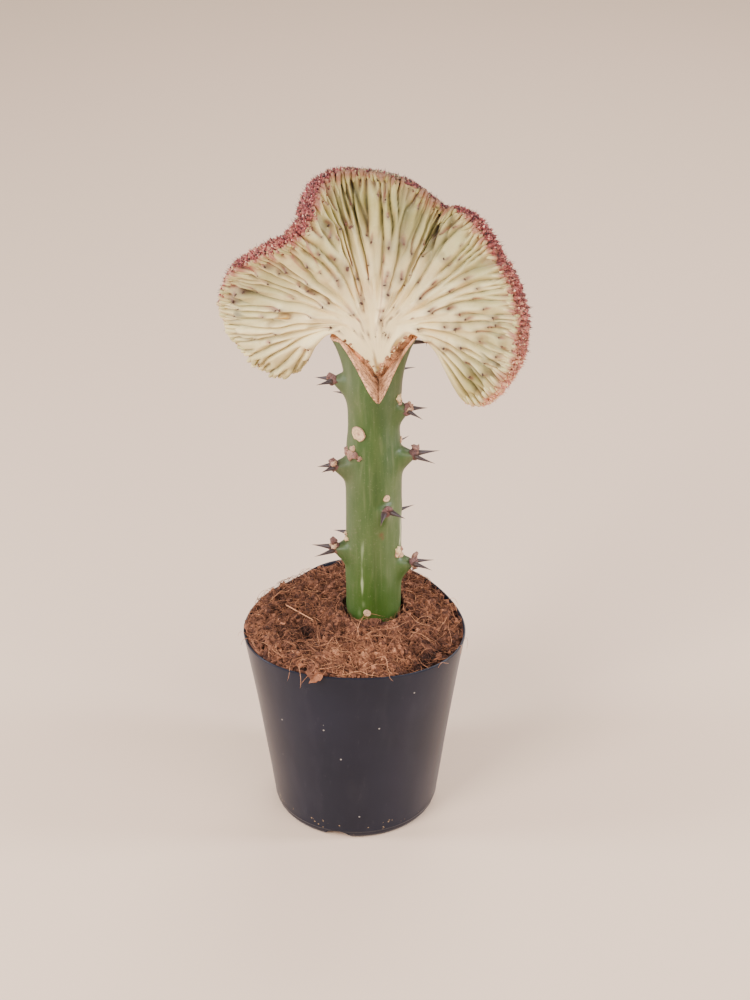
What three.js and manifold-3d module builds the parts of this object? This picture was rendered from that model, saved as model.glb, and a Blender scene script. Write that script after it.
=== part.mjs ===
// A potted coral cactus: a crested, fan-shaped scion grafted into the cleft of a green stock,
// standing in coir in a thin black nursery pot. Millimetres, +Z up.
// The origin is the centre of the pot's flat underside, and the fan's front faces -Y.

import * as THREE from 'three';
import { mergeVertices } from 'three/addons/utils/BufferGeometryUtils.js';
import Module from 'manifold-3d';

const wasm = await Module();
wasm.setup();

// Space left between pieces that touch
const gap = 0.3;

// Pot
const potHeight = 102;
const rimRadius = 52.5;
const footRadius = 37.4;
const footStep = [40.2, 4.6];
const wallThickness = 1.1;
const floorThickness = 1.6;
const potSides = 40;
const wallRing = 60;
const drain = { count: 4, turn: -13, width: 11.5, reach: 9, top: 3.6 };
// The thin wall is out of round towards its mouth: three soft corners, and a dent at the back left
const mouth = { corners: 3, turn: 88, bulge: 2.8, dentAt: 127, dentWidth: 18, dent: 3.5 };

// Soil
const soilLevel = 101.4;
const soilMound = { height: 9, width: 20 };
const soilTilt = 1.2;
// Heaps and hollows of the soil: x, y, width, depth, height
const soilHeaps = [
  [-20, -44, 13, 9, 2.6], [-26, -2, 6, 8, -3], [31, -39, 13, 8, -4.5],
  [-8, 50, 11, 8, -2.5], [-40, 14, 13, 22, 1.5], [25, 6, 9, 12, 1.5],
];
const crumbHeight = 1.5;
const soilRings = 9;
const chipCount = 19;
const fibreCount = 18;

// Stock: a soft five-angled stem
const stem = { x: 8.7, y: 6, radius: 13.0, buried: 44, top: 251.4, ribs: 5, ribHeight: 0.035 };
const stemSides = 40;
const flareStart = 224;
const flareReach = 6.6;
const stemHoleRadius = 13.6;

// Cleft in the top of the stock: its bottom line runs front to back and drops outside the scion
const cleft = { x: 11, z: 229.7, leftSlope: 0.85, rightSlope: 0.59, halfFlat: 5, drop: 0.76 };

// Spine bearing nodes on the stock: compass angle from +X, height, how far apart its two spines point
const stemNodes = [
  [188, 230.5, 40], [345, 216, 35], [194, 189, 40], [349, 192, 42], [292, 167, 70], [196, 142, 35],
  [350, 133, 45], [262, 222, 50], [118, 214, 60], [62, 226, 60], [128, 176, 60], [66, 186, 60],
  [122, 138, 60], [60, 150, 60], [270, 128, 50],
];
const stemSpine = { length: 8.5, base: 0.75, sunk: 2.4 };
const swelling = { height: 4.4, around: 3.8, above: 3.0, below: 8.0 };
const stemRowStep = 5.2;

// Round leaf scars on the stock: compass angle, height, radius
const leafScars = [[236, 205, 2.9], [291, 173.5, 2.2], [330, 139, 2.0], [257, 109, 2.0], [100, 196, 2.6]];
const scarProud = 0.45;

// Scion: margin stations of the fan, each x, y, z and the lean of its outward direction in degrees,
// positive where it leans back
const margin = [
  [-24.5, 22, 232.5, 52], [-32, 28, 223.5, 62], [-41, 31.5, 223.5, 68], [-50.5, 31.5, 233, 68],
  [-58, 26.5, 249, 56], [-61, 18, 267, 33], [-55, 9, 285, 8], [-43, 1, 296, -10],
  [-30.5, -4, 304.5, -20], [-23, -4, 313, -26], [-21, 3, 319.5, -20], [-16.5, 13, 325, 0],
  [-8, 20, 328, 14], [3.5, 20, 328, 20], [15.5, 17, 327.5, 22], [26.5, 16, 323.5, 22],
  [35, 19, 315.5, 16], [42, 21.5, 308.5, 6], [48.5, 15, 310.5, -6], [56.5, 6, 308, -16],
  [64.5, -1, 297, -24], [72.5, -7, 283, -30], [76.5, -10, 267, -32], [75.5, -10, 250, -30],
  [68.5, -7, 233.5, -22], [59.5, -2, 221.5, -10], [51, 2, 219.5, 0],
];
const fanPole = [8, 258];
const neck = { x: 7.85, halfWidth: 17.05, z: 254, arch: 7, spread: 108 };
const wedge = { x: 10.65, halfWidth: 1.45, z: 232.3 };
const halfThickness = { wedge: 4.7, margin: 2.8 };
const ridges = { inner: 13, middle: 26, outer: 52, height: 1.8, marginHeight: 1.2 };
const bodyEnd = 0.94;
const bodyRows = 12;

// Growing edge along the margin
const edgeHeight = 3.9;
const edgeStart = 0.018;
const edgeEnd = 0.994;
const edgeOverhang = 0.35;
const edgeTooth = 0.35;
const leafletCount = 150;
const leaflet = { length: 2.2, base: 0.65, sunk: 0.9 };
const crestSpineRows = [0.3, 0.46, 0.62, 0.76, 0.87];
const crestSpine = { length: 2.0, base: 0.5, sunk: 1.0 };

const rad = Math.PI / 180;
const clamp = (value, low, high) => Math.min(high, Math.max(low, value));

// Smooth step from 0 at low to 1 at high
function ease(low, high, value) {
  const t = clamp((value - low) / (high - low), 0, 1);
  return t * t * (3 - 2 * t);
}

// Seeded random numbers between 0 and 1
function seeded(seed) {
  let state = seed;
  return () => {
    state = (state + 0x6d2b79f5) | 0;
    let t = Math.imul(state ^ (state >>> 15), 1 | state);
    t = (t + Math.imul(t ^ (t >>> 7), 61 | t)) ^ t;
    return ((t ^ (t >>> 14)) >>> 0) / 4294967296;
  };
}

// A closed geometry as a solid for cutting and joining
function toSolid(geometry) {
  const bare = geometry.clone();
  bare.deleteAttribute('normal');
  bare.deleteAttribute('uv');
  const merged = mergeVertices(bare, 1e-4);
  const vertProperties = Float32Array.from(merged.attributes.position.array);
  const triVerts = Uint32Array.from(merged.index.array);
  return new wasm.Manifold(new wasm.Mesh({ numProp: 3, vertProperties, triVerts }));
}

function toGeometry(solid) {
  const mesh = solid.getMesh();
  const geometry = new THREE.BufferGeometry();
  geometry.setAttribute('position', new THREE.BufferAttribute(Float32Array.from(mesh.vertProperties), 3));
  geometry.setIndex(new THREE.BufferAttribute(Uint32Array.from(mesh.triVerts), 1));
  geometry.computeVertexNormals();
  return geometry;
}

function fromTriangles(points, triangles) {
  const geometry = new THREE.BufferGeometry();
  geometry.setAttribute('position', new THREE.Float32BufferAttribute(points.flatMap((p) => p.toArray()), 3));
  geometry.setIndex(triangles.flat());
  return geometry;
}

// Two triangles for each cell of a grid of point numbers, rows by columns
function gridTriangles(grid, flipped) {
  const triangles = [];
  for (let row = 0; row + 1 < grid.length; row += 1) {
    for (let col = 0; col + 1 < grid[row].length; col += 1) {
      const [a, b] = [grid[row][col], grid[row][col + 1]];
      const [c, d] = [grid[row + 1][col + 1], grid[row + 1][col]];
      triangles.push(flipped ? [a, c, b] : [a, b, c]);
      triangles.push(flipped ? [a, d, c] : [a, c, d]);
    }
  }
  return triangles;
}

// A pointed spine from a root point along a direction, with a few flat sides
function spine(root, direction, length, base, sunk, sides) {
  const geometry = new THREE.ConeGeometry(base, length + sunk, sides);
  geometry.translate(0, (length + sunk) / 2 - sunk, 0);
  const turn = new THREE.Quaternion().setFromUnitVectors(new THREE.Vector3(0, 1, 0), direction);
  geometry.applyQuaternion(turn);
  geometry.translate(root.x, root.y, root.z);
  return toSolid(geometry);
}

// Repeats joined to what they grow from; one that misses it is dropped
function joinAll(body, pieces) {
  const joined = pieces.reduce((sum, piece) => sum.add(piece), body);
  return joined.decompose().reduce((a, b) => (a.volume() > b.volume() ? a : b));
}

// How far the pot's wall stands out of its round at a compass angle and height, least at the foot
function outOfRound(angle, z) {
  const share = clamp((z - footStep[1]) / (potHeight - footStep[1]), 0, 1);
  const fromDent = ((angle / rad - mouth.dentAt + 540) % 360) - 180;
  const dent = mouth.dent * Math.exp(-((fromDent / mouth.dentWidth) ** 2));
  return share * (mouth.bulge * Math.cos(mouth.corners * (angle - mouth.turn * rad)) - dent);
}

// Pot: a tapered wall over a stepped foot, with arched drain slots through the foot's corner
function makePot() {
  const taper = (rimRadius - footStep[0]) / (potHeight - footStep[1]);
  const outside = (z) => footStep[0] + taper * (z - footStep[1]);
  const outline = [
    [0, 0], [footRadius, 0], [footRadius + 1.6, 0.9], [footStep[0], footStep[1] - 0.6], footStep,
    [outside(potHeight - 0.5), potHeight - 0.5], [rimRadius - 0.25, potHeight],
    [rimRadius - wallThickness + 0.2, potHeight], [rimRadius - wallThickness, potHeight - 0.5],
    [outside(wallRing) - wallThickness, wallRing], [footStep[0] - wallThickness, footStep[1] + 1],
    [footRadius - 0.3, floorThickness], [0, floorThickness],
  ];
  const lathe = new THREE.LatheGeometry(outline.map(([r, z]) => new THREE.Vector2(r, z)), potSides);
  lathe.rotateX(Math.PI / 2);
  const place = lathe.attributes.position;
  for (let i = 0; i < place.count; i += 1) {
    const [x, y, z] = [place.getX(i), place.getY(i), place.getZ(i)];
    const stretch = 1 + outOfRound(Math.atan2(y, x), z) / Math.max(Math.hypot(x, y), footRadius);
    place.setXY(i, x * stretch, y * stretch);
  }
  let pot = toSolid(lathe);
  for (let i = 0; i < drain.count; i += 1) {
    const slot = new THREE.CylinderGeometry(drain.width / 2, drain.width / 2, drain.reach, 16);
    slot.scale(1, 1, drain.top / (drain.width / 2));
    slot.translate(0, -(footRadius + 1), 0);
    slot.rotateZ(rad * (drain.turn + (360 / drain.count) * i));
    pot = pot.subtract(toSolid(slot));
  }
  return toGeometry(pot);
}

// Smooth noise between -1 and 1 from a few crossed waves
function crumb(x, y, scale) {
  const a = Math.sin(x / scale + 1.7 * Math.sin(y / (1.3 * scale)));
  const b = Math.sin(y / (0.8 * scale) + 2.1 * Math.sin(x / (1.1 * scale) + 1));
  return (a + b) / 2;
}

// Height of the soil: a mound at the stem, up to the rim at the left, lower at the front right
function soilHeight(x, y) {
  const fromStem = Math.hypot(x - stem.x, y - stem.y);
  let height = soilLevel + soilMound.height * Math.exp(-((fromStem / soilMound.width) ** 2));
  for (const [heapX, heapY, width, depth, rise] of soilHeaps) {
    height += rise * Math.exp(-(((x - heapX) / width) ** 2) - ((y - heapY) / depth) ** 2);
  }
  return height - (soilTilt * x) / rimRadius + crumbHeight * crumb(x, y, 2.3);
}

function insideRadius(z) {
  const share = clamp((z - footStep[1]) / (potHeight - footStep[1]), 0, 1);
  return footStep[0] + (rimRadius - footStep[0]) * share - wallThickness - gap;
}

// Soil: rings from the underside up the pot's wall, then over the top to the stem's hole
function makeSoil() {
  const columns = potSides;
  const placeOn = (share, angle, outside) => [
    THREE.MathUtils.lerp(stem.x + stemHoleRadius * Math.cos(angle), outside * Math.cos(angle), share),
    THREE.MathUtils.lerp(stem.y + stemHoleRadius * Math.sin(angle), outside * Math.sin(angle), share),
  ];
  const ringOf = (share, level) => {
    const ring = [];
    for (let i = 0; i < columns; i += 1) {
      const angle = (2 * Math.PI * i) / columns;
      const z = level ?? soilHeight(...placeOn(share, angle, rimRadius - 2));
      const [x, y] = placeOn(share, angle, insideRadius(z) + outOfRound(angle, z));
      ring.push(new THREE.Vector3(x, y, z));
    }
    return ring;
  };
  const low = floorThickness + gap;
  const rings = [ringOf(0.88, low), ringOf(1, footStep[1] + 1.2), ringOf(1, wallRing)];
  for (let i = soilRings; i >= 0; i -= 1) {
    rings.push(ringOf(i / soilRings));
  }
  rings.push(ringOf(0, stem.buried - gap));
  const points = rings.flat();
  const grid = rings.map((ring, row) => [...ring.keys(), 0].map((col) => row * columns + col));
  const triangles = gridTriangles(grid, false);
  const holeFloor = points.push(new THREE.Vector3(stem.x, stem.y, stem.buried - gap)) - 1;
  const underside = points.push(new THREE.Vector3(0, 0, low)) - 1;
  for (let i = 0; i < columns; i += 1) {
    triangles.push([holeFloor, grid.at(-1)[i], grid.at(-1)[i + 1]]);
    triangles.push([underside, grid[0][i + 1], grid[0][i]]);
  }
  const body = toSolid(fromTriangles(points, triangles));
  return toGeometry(joinAll(body, soilLitter()));
}

// Husk chips and coir fibres, half sunk in the surface and clear of the stem and the wall
function soilLitter() {
  const random = seeded(7);
  const pieces = [];
  const place = (geometry, radius, angle, roll, lift) => {
    const x = radius * Math.cos(angle);
    const y = radius * Math.sin(angle);
    geometry.rotateX(0.5 * (random() - 0.5));
    geometry.rotateZ(roll);
    geometry.translate(x, y, soilHeight(x, y) + lift);
    pieces.push(toSolid(geometry));
  };
  while (pieces.length < chipCount + fibreCount) {
    const isChip = pieces.length < chipCount;
    const radius = 20 + 20 * Math.sqrt(random());
    const angle = 2 * Math.PI * random();
    const fromStem = Math.hypot(radius * Math.cos(angle) - stem.x, radius * Math.sin(angle) - stem.y);
    if (fromStem < stemHoleRadius + 9) {
      continue;
    }
    if (isChip) {
      const chip = new THREE.BoxGeometry(3 + 4 * random(), 2 + 2.5 * random(), 1.6 + 1.2 * random());
      place(chip, radius, angle, 2 * Math.PI * random(), 0.2);
    } else {
      const fibre = new THREE.CylinderGeometry(0.45, 0.35, 8 + 6 * random(), 4);
      place(fibre, Math.min(radius, 38), angle, angle + 0.8 * (random() - 0.5), 0.4);
    }
  }
  const huskChip = new THREE.BoxGeometry(6.5, 11, 1.6);
  huskChip.rotateZ(-0.35);
  huskChip.translate(-19.5, -48.2, potHeight + gap + 0.9);
  pieces.push(toSolid(huskChip));
  return pieces;
}

// Radius of the stock at a compass angle and height: five soft ribs, with a swelling at every node
// that is steep above and runs out slowly below
function stemRadius(angle, z) {
  const ribShare = ease(104, 120, z);
  let radius = stem.radius * (1 + ribShare * stem.ribHeight * Math.cos(stem.ribs * (angle + 10 * rad)));
  for (const [nodeAngle, nodeHeight] of stemNodes) {
    const around = Math.abs(((angle / rad - nodeAngle + 540) % 360) - 180) * rad * stem.radius;
    const along = (z - nodeHeight) / (z > nodeHeight ? swelling.above : swelling.below);
    radius += swelling.height * Math.exp(-((around / swelling.around) ** 2) - along ** 2);
  }
  return radius;
}

// A point of the stock's surface: the top flares sideways below the scion and narrows front to back
function stemPoint(angle, z) {
  const radius = stemRadius(angle, z);
  const flare = flareReach * Math.max(0, (z - flareStart) / (stem.top - flareStart)) ** 2.2;
  const narrow = 1 - 0.3 * ease(flareStart, stem.top, z);
  const x = stem.x + radius * Math.cos(angle) * (1 + flare / stem.radius);
  const y = stem.y + radius * Math.sin(angle) * narrow;
  return new THREE.Vector3(x, y, z);
}

// The V-shaped cutter, a loft of four sections from front to back
function cleftCutter() {
  const rise = 40;
  const sections = [-30, -cleft.halfFlat, cleft.halfFlat, 30].map((away) => {
    const z = cleft.z - cleft.drop * Math.max(0, Math.abs(away) - cleft.halfFlat);
    const top = cleft.z + rise;
    return [
      new THREE.Vector3(cleft.x, stem.y + away, z),
      new THREE.Vector3(cleft.x + cleft.rightSlope * (top - z), stem.y + away, top),
      new THREE.Vector3(cleft.x - cleft.leftSlope * (top - z), stem.y + away, top),
    ];
  });
  const grid = sections.map((section, row) => [0, 1, 2, 0].map((col) => row * 3 + col));
  const triangles = gridTriangles(grid, true);
  const [first, last] = [grid[0], grid.at(-1)];
  triangles.push([first[0], first[1], first[2]]);
  triangles.push([last[2], last[1], last[0]]);
  return toSolid(fromTriangles(sections.flat(), triangles));
}

// Stock: the swept stem, its cleft, and a pair of spines at every node
function makeStock() {
  const heights = [stem.buried, 75, 97, 104];
  for (let z = 111; z < stem.top - 2; z += stemRowStep) {
    heights.push(z);
  }
  heights.push(stem.top);
  const points = [];
  const grid = heights.map((z, row) => {
    const cols = [];
    for (let i = 0; i <= stemSides; i += 1) {
      if (i < stemSides) {
        points.push(stemPoint((2 * Math.PI * i) / stemSides, z));
      }
      cols.push(row * stemSides + (i % stemSides));
    }
    return cols;
  });
  const triangles = gridTriangles(grid, false);
  const foot = points.push(new THREE.Vector3(stem.x, stem.y, stem.buried)) - 1;
  const crown = points.push(new THREE.Vector3(stem.x, stem.y, stem.top)) - 1;
  for (let i = 0; i < stemSides; i += 1) {
    triangles.push([foot, grid[0][i + 1], grid[0][i]]);
    triangles.push([crown, grid.at(-1)[i], grid.at(-1)[i + 1]]);
  }
  const body = toSolid(fromTriangles(points, triangles)).subtract(cleftCutter());
  return toGeometry(joinAll(body, [...stemSpines(), ...stemScars()]));
}

// Leaf scars: low round pads, sunk into the stem
function stemScars() {
  return leafScars.map(([degrees, z, radius]) => {
    const pad = new THREE.CylinderGeometry(radius * 0.8, radius, 3, 10);
    pad.rotateZ(-Math.PI / 2);
    pad.translate(-1.5 + scarProud, 0, 0);
    pad.rotateZ(degrees * rad);
    const root = stemPoint(degrees * rad, z);
    pad.translate(root.x, root.y, root.z);
    return toSolid(pad);
  });
}

function stemSpines() {
  const pieces = [];
  for (const [degrees, z, spread] of stemNodes) {
    const angle = degrees * rad;
    const outward = new THREE.Vector3(Math.cos(angle), Math.sin(angle), 0);
    const along = new THREE.Vector3(-Math.sin(angle), Math.cos(angle), 0);
    const root = stemPoint(angle, z);
    for (const side of [-1, 1]) {
      const half = (side * spread * rad) / 2;
      const direction = outward.clone().multiplyScalar(Math.cos(half)).addScaledVector(along, Math.sin(half));
      direction.z = -0.12 + 0.1 * side;
      direction.normalize();
      const start = root.clone().addScaledVector(along, side * 0.9);
      const { length, base, sunk } = stemSpine;
      pieces.push(spine(start, direction, length, base, sunk, 4));
    }
  }
  return pieces;
}

// Smooth curve through a list of numbers, t from 0 to 1
function smoothThrough(values, t) {
  const last = values.length - 1;
  const place = clamp(t, 0, 1) * last;
  const i = Math.min(Math.floor(place), last - 1);
  const f = place - i;
  const before = i > 0 ? values[i - 1] : 2 * values[0] - values[1];
  const after = i + 2 <= last ? values[i + 2] : 2 * values[last] - values[last - 1];
  const [a, b] = [values[i], values[i + 1]];
  const square = (2 * before - 5 * a + 4 * b - after) * f * f;
  const cube = (3 * a - before - 3 * b + after) * f ** 3;
  return 0.5 * (2 * a + (b - before) * f + square + cube);
}

const columnOf = (index) => margin.map((station) => station[index]);
const marginX = columnOf(0);
const marginY = columnOf(1);
const marginZ = columnOf(2);
const marginLean = columnOf(3);

function marginAt(t) {
  return new THREE.Vector3(smoothThrough(marginX, t), smoothThrough(marginY, t), smoothThrough(marginZ, t));
}

// Lengths along the margin, so that the ridges are spaced evenly on it
const marginSteps = 800;
const marginLengths = [0];
for (let i = 1; i <= marginSteps; i += 1) {
  const step = marginAt(i / marginSteps).distanceTo(marginAt((i - 1) / marginSteps));
  marginLengths.push(marginLengths[i - 1] + step);
}
const marginLength = marginLengths[marginSteps];

function evenly(u) {
  const wanted = clamp(u, 0, 1) * marginLength;
  let low = 0;
  let high = marginSteps;
  while (high - low > 1) {
    const half = (low + high) >> 1;
    if (marginLengths[half] <= wanted) {
      low = half;
    } else {
      high = half;
    }
  }
  const share = (wanted - marginLengths[low]) / (marginLengths[high] - marginLengths[low]);
  return (low + share) / marginSteps;
}

// Middle surface of the fan: u runs along the margin, v from the wedge's tip (-1) over the neck (0)
// to the margin (1). Above the neck each line of growth is a curve that leaves the neck fanwise
// and meets the margin at that place's lean.
function fanPoint(u, v) {
  const t = evenly(u);
  const k = 2 * clamp(u, 0, 1) - 1;
  const start = new THREE.Vector3(neck.x + neck.halfWidth * k, stem.y, neck.z + neck.arch * (1 - k * k));
  if (v < 0) {
    const tip = new THREE.Vector3(wedge.x + wedge.halfWidth * k, stem.y, wedge.z);
    return tip.lerp(start, v + 1);
  }
  const end = marginAt(t);
  const lean = smoothThrough(marginLean, t) * rad;
  const reach = end.distanceTo(start);
  const leaving = new THREE.Vector3(Math.sin(neck.spread * k * rad), 0, Math.cos(neck.spread * k * rad));
  const arriving = new THREE.Vector3(end.x - fanPole[0], 0, end.z - fanPole[1]).normalize();
  arriving.multiplyScalar(Math.cos(lean));
  arriving.y = Math.sin(lean);
  const point = start.multiplyScalar(2 * v ** 3 - 3 * v ** 2 + 1);
  point.addScaledVector(leaving, 1.1 * reach * (v ** 3 - 2 * v ** 2 + v));
  point.addScaledVector(end, 3 * v ** 2 - 2 * v ** 3);
  return point.addScaledVector(arriving, 0.95 * reach * (v ** 3 - v ** 2));
}

// Facing direction of the fan, taken over a wide step so that tight folds stay open
function fanNormal(u, v) {
  const wide = 0.022;
  const small = 0.001;
  const across = fanPoint(u + wide, v).sub(fanPoint(u - wide, v));
  const outward = fanPoint(u, v + small).sub(fanPoint(u, v < 0 ? v - small : v));
  const normal = across.cross(outward).normalize();
  const share = ease(-0.1, 0.12, v);
  return normal.multiplyScalar(share).add(new THREE.Vector3(0, share - 1, 0)).normalize();
}

// Half the fan's thickness: rounded at its two free sides, with ridges that fork twice on the way out
function fanHalf(u, v) {
  const side = Math.min(u, 1 - u) * marginLength * clamp(0.12 + v, 0.12, 1);
  const round = Math.sqrt(clamp(1 - (1 - clamp(side / 6, 0, 1)) ** 2, 0, 1));
  const rounding = 1 - ease(-0.05, 0.15, v) * (0.75 - 0.75 * round);
  const thin = (halfThickness.wedge - halfThickness.margin) * ease(0.1, 0.9, v);
  const fork1 = 0.26 + 0.05 * Math.sin(37 * Math.floor(u * ridges.inner));
  const fork2 = 0.6 + 0.06 * Math.sin(53 * Math.floor(u * ridges.middle));
  const middle = ease(fork1 - 0.1, fork1 + 0.1, v);
  const outer = ease(fork2 - 0.12, fork2 + 0.12, v);
  const ridge = (count) => Math.abs(Math.sin(Math.PI * count * u)) ** 0.8;
  const inside = ridge(ridges.inner) * (1 - middle) + ridge(ridges.middle) * middle * (1 - outer);
  const relief = inside + ridge(ridges.outer) * outer - 0.62;
  const fade = (ridges.height - ridges.marginHeight) * ease(0.5, 0.95, v);
  const height = ease(0.08, 0.34, v) * (ridges.height - fade) * clamp(side / 9, 0, 1);
  return (halfThickness.wedge - thin) * rounding + height * relief;
}

// Scion: front and back sheets closed along their borders, with small spines on the ridges
function makeCrest() {
  const columns = 2 * ridges.outer;
  const rows = [-1, -0.5];
  for (let i = 0; i <= bodyRows; i += 1) {
    rows.push((bodyEnd * i) / bodyRows);
  }
  const points = [];
  const sheet = (side) => rows.map((v) => {
    const cols = [];
    for (let i = 0; i <= columns; i += 1) {
      const u = i / columns;
      cols.push(points.push(fanPoint(u, v).addScaledVector(fanNormal(u, v), side * fanHalf(u, v))) - 1);
    }
    return cols;
  });
  const front = sheet(1);
  const back = sheet(-1);
  const triangles = gridTriangles(front, false).concat(gridTriangles(back, true));
  triangles.push(...gridTriangles([front.at(-1), back.at(-1)], false));
  triangles.push(...gridTriangles([back[0], front[0]], false));
  triangles.push(...gridTriangles([back.map((row) => row[0]), front.map((row) => row[0])], true));
  triangles.push(...gridTriangles([front.map((row) => row[columns]), back.map((row) => row[columns])], true));
  return toGeometry(joinAll(toSolid(fromTriangles(points, triangles)), crestSpines()));
}

function crestSpines() {
  const random = seeded(21);
  const pieces = [];
  const { length, base, sunk } = crestSpine;
  crestSpineRows.forEach((row, level) => {
    const count = row < 0.5 ? ridges.middle : ridges.outer;
    const stride = row < 0.5 ? 3 : 6;
    for (const side of [1, -1]) {
      for (let i = 2 + level; i < count - 2; i += stride) {
        const u = (i + 0.5) / count;
        const v = row + 0.05 * (random() - 0.5);
        const facing = fanNormal(u, v).multiplyScalar(side);
        const root = fanPoint(u, v).addScaledVector(facing, fanHalf(u, v));
        const outward = fanPoint(u, v + 0.01).sub(fanPoint(u, v)).normalize();
        const direction = facing.clone().addScaledVector(outward, 0.5).normalize();
        pieces.push(spine(root, direction, length, base, sunk, 3));
      }
    }
  });
  return pieces;
}

// Place of the growing edge at u: its foot on the scion, and the directions out and across
function edgePlace(u) {
  const foot = fanPoint(u, bodyEnd);
  const outward = fanPoint(u, 1).sub(foot).normalize();
  return { foot, outward, facing: fanNormal(u, bodyEnd), half: fanHalf(u, bodyEnd) + edgeOverhang };
}

// Growing edge: a crowned band swept along the margin, with seeded leaflets all over its crown
function makeGrowingEdge() {
  const columns = 2 * ridges.outer;
  const profile = [[-1, 0], [-1.08, 0.45], [-0.62, 0.88], [0, 1], [0.62, 0.88], [1.08, 0.45], [1, 0]];
  const points = [];
  const grid = [];
  for (let i = 0; i <= columns; i += 1) {
    const u = edgeStart + ((edgeEnd - edgeStart) * i) / columns;
    const { foot, outward, facing, half } = edgePlace(u);
    const inFromEnd = Math.min(u - edgeStart, edgeEnd - u);
    const tall = edgeHeight * (0.35 + 0.65 * ease(0, 0.03, inFromEnd)) + (i % 2 ? edgeTooth : -edgeTooth);
    grid.push(profile.map(([across, out]) => {
      const point = foot.clone().addScaledVector(outward, gap + 0.15 + out * tall);
      return points.push(point.addScaledVector(facing, across * half)) - 1;
    }));
    grid[i].push(grid[i][0]);
  }
  const triangles = gridTriangles(grid, false);
  for (let i = 1; i + 1 < profile.length; i += 1) {
    triangles.push([grid[0][0], grid[0][i + 1], grid[0][i]]);
    triangles.push([grid[columns][0], grid[columns][i], grid[columns][i + 1]]);
  }
  return toGeometry(joinAll(toSolid(fromTriangles(points, triangles)), leaflets()));
}

function leaflets() {
  const random = seeded(5);
  const pieces = [];
  for (let i = 0; i < leafletCount; i += 1) {
    const u = 0.03 + (0.95 * (i + 0.6 * random())) / leafletCount;
    const { foot, outward, facing, half } = edgePlace(u);
    const tilt = (random() - 0.5) * 2.1;
    const direction = outward.clone().multiplyScalar(Math.cos(tilt)).addScaledVector(facing, Math.sin(tilt));
    const out = gap + 0.1 + edgeHeight * (0.3 + 0.62 * Math.cos(tilt));
    const root = foot.clone().addScaledVector(outward, out);
    root.addScaledVector(facing, half * 0.85 * Math.sin(tilt));
    const length = leaflet.length * (0.75 + 0.5 * random());
    pieces.push(spine(root, direction.normalize(), length, leaflet.base, leaflet.sunk, 3));
  }
  return pieces;
}

function addPiece(group, name, geometry, finish) {
  const mesh = new THREE.Mesh(geometry, new THREE.MeshStandardMaterial({ metalness: 0, ...finish }));
  mesh.name = name;
  group.add(mesh);
}

const plant = new THREE.Group();
addPiece(plant, 'pot', makePot(), { color: 0x3b363c, roughness: 0.48 });
addPiece(plant, 'soil', makeSoil(), { color: 0x84533a, roughness: 0.95 });
addPiece(plant, 'stock', makeStock(), { color: 0x6b7a44, roughness: 0.55 });
addPiece(plant, 'crest', makeCrest(), { color: 0xcfc9a6, roughness: 0.6 });
addPiece(plant, 'growing_edge', makeGrowingEdge(), { color: 0xb06a68, roughness: 0.65 });

export default plant;
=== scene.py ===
# A potted coral cactus: a crested fan grafted into the cleft of a green stock, in coir in a black pot.
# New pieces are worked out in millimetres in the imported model's own frame, and written in metres.

import math
import bpy
import numpy as np
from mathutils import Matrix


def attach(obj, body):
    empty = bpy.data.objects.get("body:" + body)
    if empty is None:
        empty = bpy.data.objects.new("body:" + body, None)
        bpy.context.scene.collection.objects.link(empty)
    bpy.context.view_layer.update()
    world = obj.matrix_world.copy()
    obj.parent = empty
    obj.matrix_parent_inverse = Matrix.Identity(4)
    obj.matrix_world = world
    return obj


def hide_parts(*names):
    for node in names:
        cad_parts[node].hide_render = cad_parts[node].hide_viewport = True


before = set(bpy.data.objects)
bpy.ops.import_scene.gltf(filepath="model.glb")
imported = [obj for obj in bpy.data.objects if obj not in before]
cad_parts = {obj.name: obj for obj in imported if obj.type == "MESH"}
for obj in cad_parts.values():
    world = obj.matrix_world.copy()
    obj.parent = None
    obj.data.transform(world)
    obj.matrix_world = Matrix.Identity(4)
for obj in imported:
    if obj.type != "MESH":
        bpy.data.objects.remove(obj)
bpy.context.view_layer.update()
millimetre = 0.001  # in metres
print("frame loaded:", ", ".join(sorted(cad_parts)))


# small helpers for numbers

def ease(low, high, value):  # smooth step from 0 at low to 1 at high
    t = np.clip((value - low) / (high - low), 0, 1)
    return t * t * (3 - 2 * t)


def hill(value, width):  # bell curve, 1 at 0
    return np.exp(-((value / width) ** 2))


def lengthOf(vectors):
    return np.linalg.norm(vectors, axis=-1)


def unit(vectors):
    return vectors / np.maximum(lengthOf(vectors), 1e-9)[..., None]


def stacked(*parts):  # numbers side by side as a last axis, single ones repeated to fit
    return np.stack(np.broadcast_arrays(*parts), -1)


def circle(count):  # even angles round a circle
    return 2 * np.pi * np.arange(count) / count


def hashed(cells, seed):  # whole numbers to even random numbers between 0 and 1
    cells = np.asarray(cells, dtype=np.int64)
    mixed = cells[..., 0] * 73856093 ^ cells[..., 1] * 19349663 ^ cells[..., 2] * 83492791 ^ seed * 2654435
    mixed = (mixed ^ (mixed >> 13)) * 1274126177 & 0x7FFFFFFF
    mixed = (mixed ^ (mixed >> 15)) * 668265263 & 0x7FFFFFFF
    return (mixed ^ (mixed >> 14)) % 65536 / 65536


def noise(points, scale, seed):
    # value noise between -1 and 1: random numbers on a lattice of that spacing, eased between its corners
    place = np.asarray(points) / scale
    cell = np.floor(place).astype(np.int64)
    inside = place - cell
    inside = inside * inside * (3 - 2 * inside)
    total = np.zeros(place.shape[:-1])
    for corner in np.ndindex(2, 2, 2):
        share = np.prod(np.where(corner, inside, 1 - inside), axis=-1)
        total += share * hashed(cell + np.array(corner), seed)
    return 2 * total - 1


def noise3(points, scale, seed):  # three noises as one vector
    return stacked(*[noise(points, scale, seed + i) for i in range(3)])


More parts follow.
